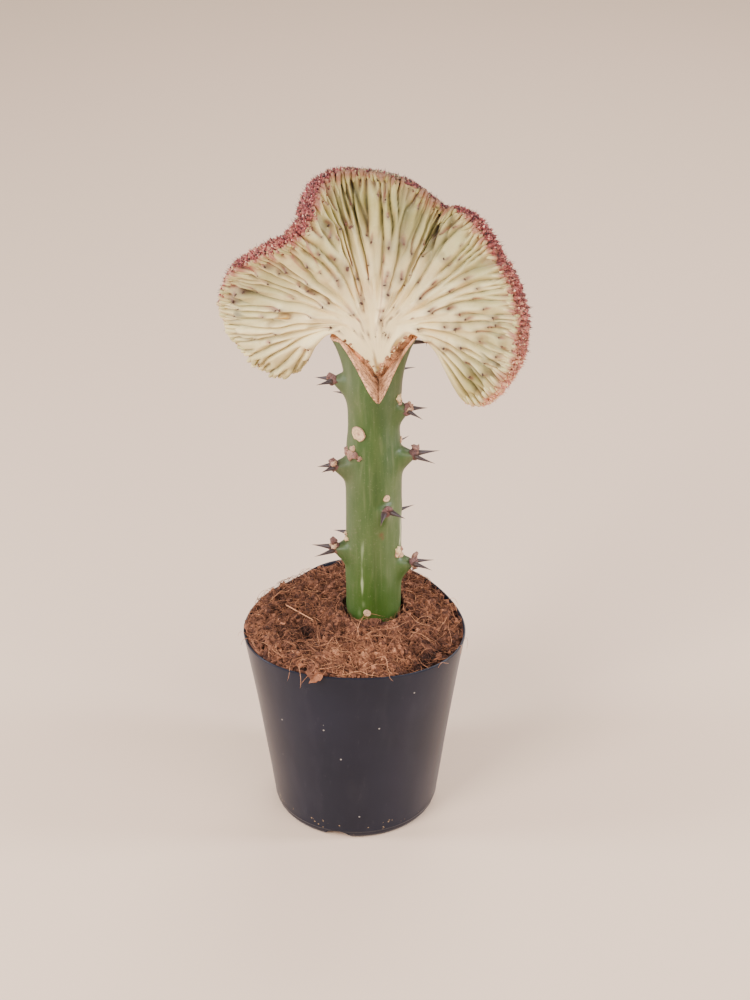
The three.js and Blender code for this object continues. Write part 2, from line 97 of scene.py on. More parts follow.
def anyTurns(random, count):  # a turn about its own axis for each item, in radians
    return 6.3 * random.random(count)


def boundary(low, high, inside):  # by halving: the values between which inside stops being true
    for _ in range(40):
        middle = (low + high) / 2
        within = inside(middle)
        low, high = np.where(within, middle, low), np.where(within, high, middle)
    return low, high


# small helpers for meshes

def gridFaces(rows, columns, wrapRows=False, wrapColumns=False):
    # a quad for each cell of a grid of points stored row by row
    r, c = np.indices((rows - (not wrapRows), columns - (not wrapColumns)))
    r2, c2 = (r + 1) % rows, (c + 1) % columns
    return stacked(r * columns + c, r * columns + c2, r2 * columns + c2, r2 * columns + c).reshape(-1, 4)


def shellFaces(rows, columns):
    # two sheets closed into a shell: the grid's rows go up the front sheet and down the back one
    pairs = np.arange(rows - 1)
    strip = stacked(pairs, pairs + 1, 2 * rows - 2 - pairs, 2 * rows - 1 - pairs) * columns
    return [gridFaces(2 * rows, columns, wrapRows=True), strip, strip[:, ::-1] + columns - 1]


def joined(parts):  # several (points, faces) as one, with their numbers carried on
    points, faces, offset = [], [], 0
    for partPoints, partFaces in parts:
        points.append(partPoints)
        faces += [group + offset for group in partFaces]
        offset += len(partPoints)
    return np.concatenate(points), faces


def volumeOf(points, faces):  # signed volume, negative when the faces look inwards
    total = 0.0
    for group in faces:
        corners = points[group]
        for i in range(1, group.shape[1] - 1):
            total += np.einsum("ij,ij->", corners[:, 0], np.cross(corners[:, i], corners[:, i + 1]))
    return total / 6


def placed(name, data):  # a new object in the scene
    made = bpy.data.objects.new(name, data)
    bpy.context.scene.collection.objects.link(made)
    return made


def newPiece(name, points, faces, material, replaced=None, marks=None, sharp=None):
    # points in millimetres, faces as arrays of 3 or 4 numbers, marks as named values for each point
    if volumeOf(points, faces) < 0:
        faces = [group[:, ::-1] for group in faces]
    mesh = bpy.data.meshes.new(name)
    corners = np.concatenate([group.ravel() for group in faces]).astype(np.int32)
    sizes = np.concatenate([np.full(len(group), group.shape[1]) for group in faces])
    mesh.vertices.add(len(points))
    mesh.vertices.foreach_set("co", (points * millimetre).astype(np.float32).ravel())
    mesh.loops.add(len(corners))
    mesh.loops.foreach_set("vertex_index", corners)
    mesh.polygons.add(len(sizes))
    mesh.polygons.foreach_set("loop_start", (np.cumsum(sizes) - sizes).astype(np.int32))
    mesh.update(calc_edges=True)
    mesh.validate()
    for key, values in (marks or {}).items():
        layer = mesh.attributes.new(key, "FLOAT", "POINT")
        layer.data.foreach_set("value", np.ravel(values).astype(np.float32))
    mesh.shade_smooth()
    if sharp:
        mesh.set_sharp_from_angle(angle=math.radians(sharp))
    mesh.materials.append(material)
    piece = placed(name, mesh)
    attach(piece, "root")
    if replaced:
        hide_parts(replaced)
    print(f"{name}: {int(np.sum(sizes - 2))} triangles")
    return piece


def crossDirections(along, turns):
    # two directions square to each given one, turned about it by an angle
    up = np.where(np.abs(along[..., 2:3]) < 0.9, np.array([0.0, 0, 1]), np.array([1.0, 0, 0]))
    first = unit(np.cross(up, along))
    second = np.cross(along, first)
    c, s = np.cos(turns)[..., None], np.sin(turns)[..., None]
    return first * c + second * s, second * c - first * s


def spun(profile, sides, roots, along, widths, lengths, turns, flat=1.0):
    # the same small turned shape at many places: point = root + along * height * length
    # + cross directions * radius * width. The profile's first and last points are poles on the axis.
    profile = np.array(profile, dtype=float)
    rings, count = len(profile) - 2, len(roots)
    along = unit(along)
    first, second = crossDirections(along, turns)
    angles = circle(sides)
    heights = profile[None, :, 1, None] * np.reshape(lengths, (-1, 1, 1))
    spine = roots[:, None] + along[:, None] * heights
    radii = (profile[None, 1:-1, 0] * np.reshape(widths, (-1, 1)))[:, :, None, None]
    around = (first[:, None, None] * np.cos(angles)[:, None]
              + second[:, None, None] * np.sin(angles)[:, None] * np.reshape(flat, (-1, 1, 1, 1)))
    ringPoints = spine[:, 1:-1, None] + around * radii
    points = np.concatenate([spine[:, :1], ringPoints.reshape(count, -1, 3), spine[:, -1:]], 1)
    return points.reshape(-1, 3), ringNumbers(count, rings, sides)


def ringNumbers(count, rings, sides):
    # faces of items that are each a pole, some rings, and a pole
    each = rings * sides + 2
    c = np.arange(sides)
    nextC = (c + 1) % sides
    last = (rings - 1) * sides + 1
    caps = np.concatenate([stacked(0, 1 + nextC, 1 + c), stacked(each - 1, last + c, last + nextC)])
    walls = gridFaces(rings, sides, wrapColumns=True) + 1
    shift = (np.arange(count) * each)[:, None, None]
    return [(caps + shift).reshape(-1, 3), (walls + shift).reshape(-1, 4)]


def tubes(paths, radii, sides):
    # a tapered tube along each path: a ring of points square to the path at every step but the two ends
    steps = paths.shape[1]
    along = unit(np.gradient(paths, axis=1))
    first, second = crossDirections(along, np.zeros(along.shape[:2]))
    angles = circle(sides)
    around = first[:, :, None] * np.cos(angles)[:, None] + second[:, :, None] * np.sin(angles)[:, None]
    rings = paths[:, :, None] + around * radii[:, :, None, None]
    points = np.concatenate([paths[:, :1], rings[:, 1:-1].reshape(len(paths), -1, 3), paths[:, -1:]], 1)
    return points.reshape(-1, 3), ringNumbers(len(paths), steps - 2, sides)


def perPoint(values, points):  # one value for each item, repeated for the item's points
    return np.repeat(values, len(points) // len(values))


def tubeMarks(values, sides):  # one value for each step of a tube, repeated for the points round it
    return np.concatenate([[values[0]], np.repeat(values[1:-1], sides), [values[-1]]])


def marksPerPoint(marks, points):
    return {key: perPoint(values, points) for key, values in marks.items()}


def joinedMarks(groups):  # the marks of several parts as one
    return {key: np.concatenate([group[key] for group in groups]) for key in groups[0]}


blob = [(0, -1.0), (0.75, -0.62), (1.0, 0.1), (0.68, 0.72), (0, 1.0)]  # profile of a rounded crumb


# small helpers for materials

def paint(red, green, blue):  # a screen colour, 0 to 255, as the shaders' linear colour
    return [(((c / 255) + 0.055) / 1.055) ** 2.4 for c in (red, green, blue)] + [1.0]


class Wire:  # an output socket that takes part in plain arithmetic
    def __init__(self, shade, socket):
        self.shade = shade
        self.socket = socket

    def math(self, operation, *values):
        return self.shade.node("Math", {"operation": operation}, dict(enumerate(values)))

    def __add__(self, other):
        return self.math("ADD", self, other)

    def __sub__(self, other):
        return self.math("SUBTRACT", self, other)

    def __rsub__(self, other):
        return self.math("SUBTRACT", other, self)

    def __mul__(self, other):
        return self.math("MULTIPLY", self, other)

    def __gt__(self, other):
        return self.math("GREATER_THAN", self, other)

    __radd__ = __add__
    __rmul__ = __mul__

    def clamped(self, low, high):  # straight ramp from 0 at low to 1 at high
        return self.shade.node("MapRange", {"clamp": True}, {0: self, 1: low, 2: high})


class Shade:  # one material: its principled shader and the nodes that feed it
    def __init__(self, name, **fixed):
        self.material = bpy.data.materials.new(name)
        self.material.use_nodes = True
        self.nodes = self.material.node_tree.nodes
        self.links = self.material.node_tree.links
        self.shader = self.nodes["Principled BSDF"]
        for key, value in fixed.items():
            self.shader.inputs[key.replace("_", " ")].default_value = value
        self.place = self.node("TexCoord", {}, {}, "Object")

    def node(self, kind, settings, inputs, out=0):
        made = self.nodes.new("ShaderNode" + kind)
        for key, value in settings.items():
            if key == "stops":
                while len(made.color_ramp.elements) < len(value):
                    made.color_ramp.elements.new(1.0)
                for element, (where, colour) in zip(made.color_ramp.elements, value):
                    element.position, element.color = where, colour
            else:
                setattr(made, key, value)
        for key, value in inputs.items():
            self.feed(made.inputs[key], value)
        return Wire(self, made.outputs[out])

    def feed(self, socket, value):
        if isinstance(value, Wire):
            self.links.new(value.socket, socket)
        else:
            socket.default_value = value

    def mark(self, name):  # a value that the piece's points carry
        return self.node("Attribute", {"attribute_name": name}, {}, "Fac")

    def marks(self, *names):
        return [self.mark(name) for name in names]

    def noise(self, size, detail=3.0, place=None, rough=0.5):  # size in millimetres
        inputs = {"Vector": place or self.place, "Scale": 1 / (size * millimetre), "Detail": detail,
                  "Roughness": rough}
        return self.node("TexNoise", {}, inputs)

    def cells(self, size, feature="F1", place=None):  # distance to the nearest cell centre or border
        inputs = {"Vector": place or self.place, "Scale": 1 / (size * millimetre)}
        return self.node("TexVoronoi", {"feature": feature}, inputs)

    def stretched(self, x, y, z):
        return self.node("Mapping", {}, {"Vector": self.place, "Scale": (x, y, z)})

    def axis(self, name):  # one coordinate, in metres
        return self.node("SeparateXYZ", {}, {0: self.place}, name)

    def layered(self, base, *layers):  # each layer is its share and its screen colour, over those before it
        for share, *colour in layers:
            base = self.node("Mix", {"data_type": "RGBA"}, {0: share, 6: base, 7: paint(*colour)}, 2)
        return base

    def ramp(self, value, *stops):  # each stop is its place and its screen colour
        stops = [(place, paint(*colour)) for place, *colour in stops]
        return self.node("ValToRGB", {"stops": stops}, {0: value})

    def bump(self, height, depth, strength=1.0):  # depth in millimetres
        inputs = {"Strength": strength, "Distance": depth * millimetre, "Height": height}
        self.feed(self.shader.inputs["Normal"], self.node("Bump", {}, inputs))

    def finish(self, **wires):
        for key, value in wires.items():
            self.feed(self.shader.inputs[key.replace("_", " ")], value)
        return self.material


# camera, lights and floor

# the camera in millimetres and degrees, with its focal length and image height in the photo's pixels
view = {"place": (9.5, -961.0, 741.0), "pitch": 30.78, "focal": 2401.0, "imageHeight": 1000.0, "sensor": 24.0}
studio = {"half": 6.0, "colour": paint(238, 206, 180), "world": (1.0, 0.97, 0.94, 1), "worldLight": 0.42}
lamps = [  # name, place, where it points, width and height, all in metres, then watts and colour
    ("key_box", (-0.92, -1.05, 1.15), (0.0, 0.0, 0.17), 0.65, 0.85, 30.0, (1.0, 0.975, 0.94)),
    ("fill_box", (0.85, -1.10, 1.05), (0.0, 0.0, 0.17), 1.4, 1.1, 20.0, (1.0, 0.97, 0.93)),
    ("left_box", (-1.05, -0.12, 0.40), (0.0, 0.0, 0.10), 0.26, 1.1, 17.0, (0.86, 0.90, 1.0)),
    ("right_box", (1.05, -0.08, 0.40), (0.0, 0.0, 0.10), 0.22, 1.1, 17.0, (0.86, 0.90, 1.0)),
    ("back_box", (0.25, 1.05, 1.05), (0.0, 0.0, 0.20), 0.9, 0.6, 10.0, (1.0, 0.98, 0.95)),
]


def addCamera():
    data = bpy.data.cameras.new("photo_view")
    data.sensor_fit = "VERTICAL"
    data.sensor_height = view["sensor"]
    data.lens = view["focal"] * view["sensor"] / view["imageHeight"]
    camera = placed("photo_view", data)
    camera.location = [c * millimetre for c in view["place"]]
    camera.rotation_euler = (math.radians(90 - view["pitch"]), 0, 0)
    bpy.context.scene.camera = camera


def addLamps():
    for name, place, target, width, height, watts, colour in lamps:
        data = bpy.data.lights.new(name, "AREA")
        data.shape, data.size, data.size_y = "RECTANGLE", width, height
        data.energy, data.color = watts, colour
        lamp = placed(name, data)
        away = np.array(target) - np.array(place)
        turn = math.atan2(-away[0], away[1])
        lamp.location = place
        lamp.rotation_euler = (math.pi / 2 + math.atan2(away[2], math.hypot(away[0], away[1])), 0, turn)
        lamp.visible_camera = False
    world = bpy.data.worlds.new("studio")
    world.use_nodes = True
    background = world.node_tree.nodes["Background"]
    background.inputs["Color"].default_value = studio["world"]
    background.inputs["Strength"].default_value = studio["worldLight"]
    bpy.context.scene.world = world


def addFloor():
    half = studio["half"]
    mesh = bpy.data.meshes.new("studio_floor")
    corners = [(-half, -half, 0), (half, -half, 0), (half, half, 0), (-half, half, 0)]
    mesh.from_pydata(corners, [], [(0, 1, 2, 3)])
    mesh.materials.append(Shade("pale_floor", Roughness=0.8, Base_Color=studio["colour"]).material)
    placed("studio_floor", mesh)


addCamera()
addLamps()
addFloor()
print("camera, lights and floor set")


# pot: a profile turned about the axis, with arched slots cut through the corner of its foot

pot = {
    "height": 102.0, "rim": 52.5, "step": (40.2, 4.6), "wall": 1.1, "columns": 192, "wallRows": 34,
    "corners": 3, "cornerTurn": 88, "bulge": 2.8, "dentAt": 127, "dentWidth": 18, "dent": 3.5,
    "mouthPower": 2.2, "roundWithin": 36, "wave": 0.10, "waveSize": 21, "waveFrom": 6, "waveTo": 100,
    "waveRadius": 50,
    "under": [  # radius and height, from the underside's middle out to the wall's foot
        (20.0, 0.35), (34.5, 0.3), (36.4, 0), (37.2, 0), (38, 0.25), (38.9, 0.9), (39.5, 2), (39.8, 3.2),
        (39.85, 3.9), (40.15, 4.25), (40.25, 4.6)],
    "lip": [  # the same from the rim's outer corner, over and inwards
        (-0.08, -0.45), (-0.3, -0.06), (-0.55, 0), (-0.8, -0.06), (-1.02, -0.45)],
    "inner": [  # the same from the inside of the wall to the floor's middle
        (38.9, 4.6), (38.2, 2.6), (37.1, 1.75), (34.0, 1.6), (20.0, 1.6)],
    "slots": 4, "slotTurn": -13.0, "slotWidth": 13.0, "slotAt": 38.4, "slotReach": 9.0, "slotTop": 3.9}
slotTurns = np.radians(pot["slotTurn"] + 360 / pot["slots"] * np.arange(pot["slots"]))


def compassFrom(angle, degrees):  # degrees from a compass angle to an angle in radians, -180 to 180
    return (np.degrees(angle) - degrees + 540) % 360 - 180


def upTheWall(z):  # share of the way from the foot's step to the rim
    return np.clip((z - pot["step"][1]) / (pot["height"] - pot["step"][1]), 0, 1)


def wallRadius(z):  # the outside of the wall widens evenly from the foot's step to the rim
    return pot["step"][0] + (pot["rim"] - pot["step"][0]) * upTheWall(z)


def outOfRound(angle, z):
    # towards its mouth the wall has three soft corners, bulge * cos(3 * angle), and one dent, a bell curve
    corners = pot["bulge"] * np.cos(pot["corners"] * (angle - math.radians(pot["cornerTurn"])))
    dent = pot["dent"] * hill(compassFrom(angle, pot["dentAt"]), pot["dentWidth"])
    return upTheWall(z) ** pot["mouthPower"] * (corners - dent)


def potMaterial():
    shade = Shade("black_polypropylene", IOR=1.49, Specular_IOR_Level=0.20, Sheen_Weight=0.07,
                  Sheen_Roughness=0.25, Sheen_Tint=(0.62, 0.66, 1.0, 1))
    height = shade.axis("Z")
    cloud, fine = shade.noise(38, 3), shade.noise(0.5, 2)
    haze = shade.noise(9, 4, shade.stretched(1, 1, 0.25))
    scuff = shade.noise(2.6, 4, shade.stretched(1, 1, 0.3), 0.7)
    dust = shade.noise(1.3, 5) * 0.6 + shade.noise(6, 3) * 0.6
    lowDust = (dust - height.clamped(0.0, 0.020) * 0.36).clamped(0.66, 0.80)
    specks = (1 - shade.cells(6.5).clamped(0.05, 0.075)) * (shade.noise(14, 2) > 0.53)
    grit = (1 - shade.cells(1.9).clamped(0.16, 0.24)) * (shade.noise(5, 2) > 0.57)  # dirt just above the foot
    grit = grit * height.clamped(0.0045, 0.0055) * (1 - height.clamped(0.009, 0.0105))
    base = shade.layered(
        paint(22, 25, 37),
        (cloud.clamped(0.3, 0.7), 29, 31, 44),
        (haze.clamped(0.5, 0.85) * 0.3, 52, 51, 60),
        (scuff.clamped(0.62, 0.75) * 0.08, 98, 92, 98),
        (lowDust * 0.6, 124, 106, 90),
        (specks * 0.9, 176, 168, 160),
        (grit * 0.85, 170, 140, 104))
    shade.bump(fine * 0.5 + haze * 0.5, 0.12, 0.35)
    return shade.finish(Base_Color=base, Roughness=0.26 + haze * 0.10 + lowDust * 0.3)


def makePot():
    rim, top, columns = pot["rim"], pot["height"], pot["columns"]
    heights = np.linspace(pot["step"][1] + 0.5, top - 0.9, pot["wallRows"])
    profile = pot["under"] + [(wallRadius(z), z) for z in heights]
    profile += [(rim + out, top + up) for out, up in pot["lip"]]
    profile += [(wallRadius(z) - pot["wall"], z) for z in heights[::-1]] + pot["inner"]
    r, z = np.array(profile).T[:, :, None]
    angle = circle(columns)
    ring = r + outOfRound(angle, z) * (r > pot["roundWithin"])
    points = stacked(ring * np.cos(angle), ring * np.sin(angle), z).reshape(-1, 3)
    wavy = (points[:, 2] > pot["waveFrom"]) * (points[:, 2] < pot["waveTo"])
    waves = pot["wave"] * noise(points, pot["waveSize"], 3) * wavy
    points[:, :2] *= (1 + waves / pot["waveRadius"])[:, None]
    points = np.concatenate([points, [[0, 0, profile[0][1]], [0, 0, profile[-1][1]]]])
    c = np.arange(columns)
    nextC, last = np.roll(c, -1), (len(profile) - 1) * columns
    caps = np.concatenate([stacked(nextC, c, len(points) - 2),
                           stacked(last + c, last + nextC, len(points) - 1)])
    piece = newPiece("nursery_pot", points, [gridFaces(len(profile), columns, wrapColumns=True), caps],
                     potMaterial(), "pot")
    for turn in slotTurns:
        cutSlot(piece, turn)
    piece.data.shade_smooth()
    piece.data.set_sharp_from_angle(angle=math.radians(40))


def atSlot(turn, across, out):  # x and y of a place beside a slot's middle line and out from the axis
    return across * np.cos(turn) + out * np.sin(turn), across * np.sin(turn) - out * np.cos(turn)


def cutSlot(piece, turn):
    # an arch lying along the radius: across = half width * cos a, up = top * sin a
    a = np.linspace(0, 2 * np.pi, 33)[:-1]
    across, up = pot["slotWidth"] / 2 * np.cos(a), pot["slotTop"] * np.sin(a)
    ends = []
    for way in (-1, 1):
        ends.append(stacked(*atSlot(turn, across, pot["slotAt"] + way * pot["slotReach"] / 2), up))
    mesh = bpy.data.meshes.new("slot_cutter")
    faces = gridFaces(2, len(a), wrapColumns=True).tolist()
    faces += [list(range(len(a)))[::-1], list(range(len(a), 2 * len(a)))]
    mesh.from_pydata((np.concatenate(ends) * millimetre).tolist(), [], faces)
    cutter = placed("slot_cutter", mesh)
    cut = piece.modifiers.new("slot", "BOOLEAN")
    cut.object, cut.solver, cut.operation = cutter, "EXACT", "DIFFERENCE"
    bpy.context.view_layer.update()
    finished = bpy.data.meshes.new_from_object(piece.evaluated_get(bpy.context.evaluated_depsgraph_get()))
    piece.modifiers.clear()
    piece.data = finished
    bpy.data.objects.remove(cutter)


makePot()


# soil: a rough bed of coir with crumbs, husk chips and fibres on it

soil = {
    "level": 101.4, "mound": (9.0, 20.0), "tilt": 1.2, "crumb": 1.5, "crumbSize": 2.3, "columns": 380,
    "rings": 90,
    "heaps": [  # x, y, width, depth, height
        (-20, -44, 13, 9, 2.6), (-25, -12, 6, 8, -3), (32, -38, 14, 9, -6.0), (-8, 50, 11, 8, -2.5),
        (-40, 14, 13, 22, 1.5), (25, 6, 9, 12, 1.5), (44, -19, 8, 11, -3)],
    "clods": [(1.1, 4.6, 5), (0.6, 2.1, 1), (0.55, 1.1, 2), (0.4, 0.7, 3)],  # height, size, seed
    "hollow": (-25.5, -13.5), "hole": 11.0, "holeFoot": (9.0, 90.0),
    "gap": (4.4, 13.7, 1.5),  # the loose ring round the stem: its depth, radius and width
    "wallLevels": [(1.9, 3.6), (6, 0.12), (30, 0.12), (60, 0.12), (85, 0.12)],  # height, and gap to the wall
    # rings under the lip of coir that stands above the rim: how far below the top's edge, how high at most
    "lipLevels": [(0.8, 101.4), (0.3, 102.3)],
    "crumbs": 4900, "slotShadeCrumbs": 26, "slotShadeTint": -0.8, "chips": 52, "fibres": 4120, "longFibres": 70, "seed": 11,
    # how far each keeps from the stem's axis
    "clear": {"crumbs": 14.8, "chips": 19, "fibres": 15.6, "longFibres": 20, "skin": 15.0},
    "overRim": [  # the fibres over the rim: compass angle, reach and drop
        (197, 6, 5), (203, 4, 7), (232, 5, 8), (238, 6, 11), (246, 5, 9), (252, 4, 6), (292, 3, 4),
        (318, 6, 3), (334, 5, 4), (340, 7, 6), (20, 5, 3), (75, 4, 5), (118, 5, 6), (155, 6, 4)]}
stemPlace = (8.7, 6.0)


def awayFromStem(x, y):
    return np.hypot(x - stemPlace[0], y - stemPlace[1])


def crumbWaves(x, y, scale):  # smooth noise from a few crossed waves
    a = np.sin(x / scale + 1.7 * np.sin(y / (1.3 * scale)))
    b = np.sin(y / (0.8 * scale) + 2.1 * np.sin(x / (1.1 * scale) + 1))
    return (a + b) / 2


def soilHeight(x, y):  # a mound at the stem, up to the rim at the left, lower at the front right
    rise, width = soil["mound"]
    height = soil["level"] + rise * hill(awayFromStem(x, y), width)
    for heapX, heapY, across, deep, rise in soil["heaps"]:
        height = height + rise * hill(x - heapX, across) * hill(y - heapY, deep)
    return height - soil["tilt"] * x / pot["rim"] + soil["crumb"] * crumbWaves(x, y, soil["crumbSize"])


def bedRelief(x, y):  # clods, crumbs and pits on top of the bed's height; the bed's tint paints the pits dark as shade
    flat = stacked(x, y, 0.0)
    clods = sum(high * noise(flat, size, seed) for high, size, seed in soil["clods"])
    pits = ease(0.30, 0.75, noise(flat, 3.1, 6)) + 0.7 * ease(0.35, 0.8, noise(flat, 1.7, 7))
    hollow = hill(x - soil["hollow"][0], 3.4) * hill(y - soil["hollow"][1], 7.5)
    return clods - 2.4 * pits - 5.0 * hollow


def insideWall(angle, z):  # how far out the coir may reach, over the rim too where it stands higher
    return wallRadius(z) - pot["wall"] - 0.12 + outOfRound(angle, z) + 1.2 * ease(102.2, 103.4, z)


def soilMaterial():
    shade = Shade("coconut_coir", Roughness=0.92, Specular_IOR_Level=0.25)
    patch, grain = shade.noise(7, 3), shade.noise(0.8, 5, rough=0.75)
    value = shade.mark("tint") * 0.74 + patch * 0.24 + grain * 0.70 - 0.36
    base = shade.ramp(value, (0.06, 40, 24, 20), (0.26, 78, 47, 36), (0.46, 116, 73, 54),
                      (0.66, 164, 106, 76), (0.88, 226, 160, 116))
    shade.bump(grain, 0.35, 0.8)
    return shade.finish(Base_Color=base)


def makeSoilBed(material):
    # rings from a pole under the bed, up the pot's wall, over the top and down the stem's hole
    columns, rings = soil["columns"], soil["rings"]
    angle = circle(columns)
    c, s = np.cos(angle), np.sin(angle)
    share = np.linspace(1, 0, rings)[:, None]
    edge = pot["rim"] - pot["wall"] - 0.3 + outOfRound(angle, 100.0)
    x = edge * c * share + (stemPlace[0] + soil["hole"] * c) * (1 - share)
    y = edge * s * share + (stemPlace[1] + soil["hole"] * s) * (1 - share)
    relief = bedRelief(x, y)
    z = soilHeight(x, y) + relief
    depth, radius, width = soil["gap"]
    gap = depth * hill(awayFromStem(x, y) - radius, width) * (0.15 + 0.85 * np.abs(c))
    z -= gap * (0.8 + 0.2 * np.sin(3 * angle + 1))
    z -= 0.8 * ease(edge - 2.5, edge, np.hypot(x, y))
    compass = np.arctan2(y, x)
    outside = np.hypot(x, y)
    spread = 1 + 1.1 * ease(102.4, 103.6, z) * ease(edge - 9, edge, outside) / np.maximum(outside, 1)
    x, y = x * spread, y * spread
    outside = np.hypot(x, y)
    squeeze = np.minimum(1, insideWall(compass, z) / np.maximum(outside, 1e-6))
    top = stacked(x * squeeze, y * squeeze, z)
    lip = [(np.minimum(z[0] - below, highest), 0.12) for below, highest in soil["lipLevels"]]
    wallRings = []
    for level, inset in soil["wallLevels"] + lip:
        radius = wallRadius(level) - pot["wall"] - inset + outOfRound(angle, level)
        wallRings.append(stacked(radius * c, radius * s, level))
    radius, level = soil["holeFoot"]
    hole = stacked(stemPlace[0] + radius * c, stemPlace[1] + radius * s, level)
    grid = np.concatenate([np.array(wallRings), top, hole[None]])
    poles = np.array([[0, 0, soil["wallLevels"][0][0]], [stemPlace[0], stemPlace[1], level]])
    points = np.concatenate([poles[:1], grid.reshape(-1, 3), poles[1:]])
    before = 1 + len(wallRings) * columns
    depth = np.zeros(len(points))
    depth[before:before + rings * columns] = relief.ravel()
    # darker where the relief is lower and lighter on the clods: painted shade in the pits and hollows
    tint = 0.34 + 0.20 * np.clip(depth, -2.4, 1.8) + 0.14 * noise(points, 5, 4)
    tint = tint + patchTintAndShade(points[:, 0], points[:, 1])
    newPiece("coir_bed", points, ringNumbers(1, len(grid), columns), material, "soil", {"tint": tint})


def scatterOnSoil(random, kind):
    # even random places inside the pot and clear of the stem
    count = soil[kind]
    angle = 2 * np.pi * random.random(4 * count)
    radius = (pot["rim"] - 2.0 + outOfRound(angle, 101.0)) * np.sqrt(random.random(4 * count))
    x, y = radius * np.cos(angle), radius * np.sin(angle)
    keep = awayFromStem(x, y) > soil["clear"][kind]
    return x[keep][:count], y[keep][:count]


def patchTintAndShade(x, y):
    # lighter fine crumbs in front of the stem and darker at the back left; painted shade in the hollow and in
    # the gap round the stem, and a painted shadow on the coir inside the rim at the front right
    compass = np.degrees(np.arctan2(y, x))
    hollow = hill(x - soil["hollow"][0], 4.5) * hill(y - soil["hollow"][1], 9)
    # the lighter front crumbs are the coir's own colour, the darkening in the hollow is painted shade
    tint = 0.28 * hill(x - 6, 17) * hill(y + 33, 14) - 0.30 * hollow
    tint = tint - 0.10 * hill(x + 32, 22) * hill(y - 12, 26)
    # painted shade in the gap round the stem
    tint = tint - 0.30 * hill(awayFromStem(x, y) - 13.6, 1.7) * np.clip(np.abs(x - stemPlace[0]) / 12, 0, 1)
    # painted shadow on the coir just inside the rim at the front right
    return tint - 0.60 * hill(compass + 44, 20) * ease(40, 46, np.hypot(x, y))


def makeCrumbs(material):
    random = np.random.default_rng(soil["seed"])
    x, y = scatterOnSoil(random, "crumbs")
    count = len(x)
    size = 0.36 + 1.0 * random.random(count) ** 2.0
    roots = stacked(x, y, soilHeight(x, y) + 0.6 * bedRelief(x, y) + 0.25 * size)
    turn = np.repeat(slotTurns, soil["slotShadeCrumbs"])  # dark crumbs in the drain slots, painted shade for the dark openings under the foot
    aside, out = 5.2 * (2 * random.random(len(turn)) - 1), 33.2 + 2.4 * random.random(len(turn))
    slotShadeCrumbs = stacked(*atSlot(turn, aside, out), 1.5 + 1.5 * random.random(len(turn)))
    roots, size = np.concatenate([roots, slotShadeCrumbs]), np.concatenate([size, np.full(len(turn), 0.95)])
    count = len(size)
    along = random.normal(size=(count, 3))
    points, faces = spun(blob, 5, roots, along, size, size * (0.7 + 0.7 * random.random(count)),
                         anyTurns(random, count), 0.65 + 0.35 * random.random(count))
    points = points + 0.42 * noise3(points, 0.9, 20)
    patchesAndShade = np.append(patchTintAndShade(x, y), np.full(len(turn), soil["slotShadeTint"]))
    tint = 0.12 + 0.56 * random.random(count) + patchesAndShade
    newPiece("coir_crumbs", points, faces, material, None, {"tint": perPoint(tint, points)}, 38)


def makeChips(material):
    # flat bits of husk, and the big one that lies on the rim
    random = np.random.default_rng(soil["seed"] + 1)
    x, y = scatterOnSoil(random, "chips")
    size = 1.1 + 1.5 * random.random(len(x)) ** 1.5
    roots = stacked(x, y, soilHeight(x, y) + 0.4)
    roots[:3] = [(-18.6, -49.6, pot["height"] + 0.7), (-16.6, -50.2, 103.2), (-20.8, -48.6, 103.4)]
    along = np.append(0.6 * random.normal(size=(2, len(x))), np.ones((1, len(x))), 0).T
    along[:3] = [(-0.10, -0.75, 1), (0.5, -0.9, 0.8), (-0.6, -0.5, 1)]
    size[:3] = (3.3, 2.2, 2.0)
    turns = anyTurns(random, len(x))
    turns[0] = 1.1
    slab = [(0, -0.5), (0.86, -0.5), (1.0, -0.1), (0.96, 0.3), (0.7, 0.5), (0, 0.42)]
    points, faces = spun(slab, 9, roots, along, size, 0.30 * size, turns, 0.62)
    points = points + 1.3 * noise3(points, 2.0, 31) + 0.7 * noise3(points, 0.9, 35)
    tint = perPoint(0.40 + 0.35 * random.random(len(x)), points)
    newPiece("husk_chips", points, faces, material, None, {"tint": tint}, 35)


def fibrePaths(random, x, y, heading, length, steps, curl, lift):
    # a path that turns smoothly as it goes: heading changes by a slow random wave, height follows the soil
    s = np.linspace(0, 1, steps)
    slow = np.sin(2 * np.pi * (s + random.random((len(x), 1))))
    bend = heading[:, None] + curl[:, None] * (s + 0.35 * slow)
    step = length[:, None] / (steps - 1)
    px = x[:, None] + np.cumsum(np.cos(bend) * step, 1)
    py = y[:, None] + np.cumsum(np.sin(bend) * step, 1)
    far = np.hypot(px, py)
    reach = pot["rim"] - 1.5 + outOfRound(np.arctan2(py, px), 101.0)
    keep = np.minimum(1, reach / np.maximum(far, 1e-6))
    px, py = px * keep, py * keep
    ground = soilHeight(px, py)
    smooth = ground.mean(1, keepdims=True)
    pz = 0.55 * ground + 0.45 * smooth + 0.35 + lift[:, None] * np.sin(np.pi * s) + lift[:, None] * 0.5 * s
    return stacked(px, py, pz)


def clearOfStem(paths):  # pushes paths out sideways to the stem's skin
    fromStem = paths[..., :2] - stemPlace
    push = np.maximum(1, soil["clear"]["skin"] / lengthOf(fromStem))
    paths[..., :2] = stemPlace + fromStem * push[..., None]
    return paths


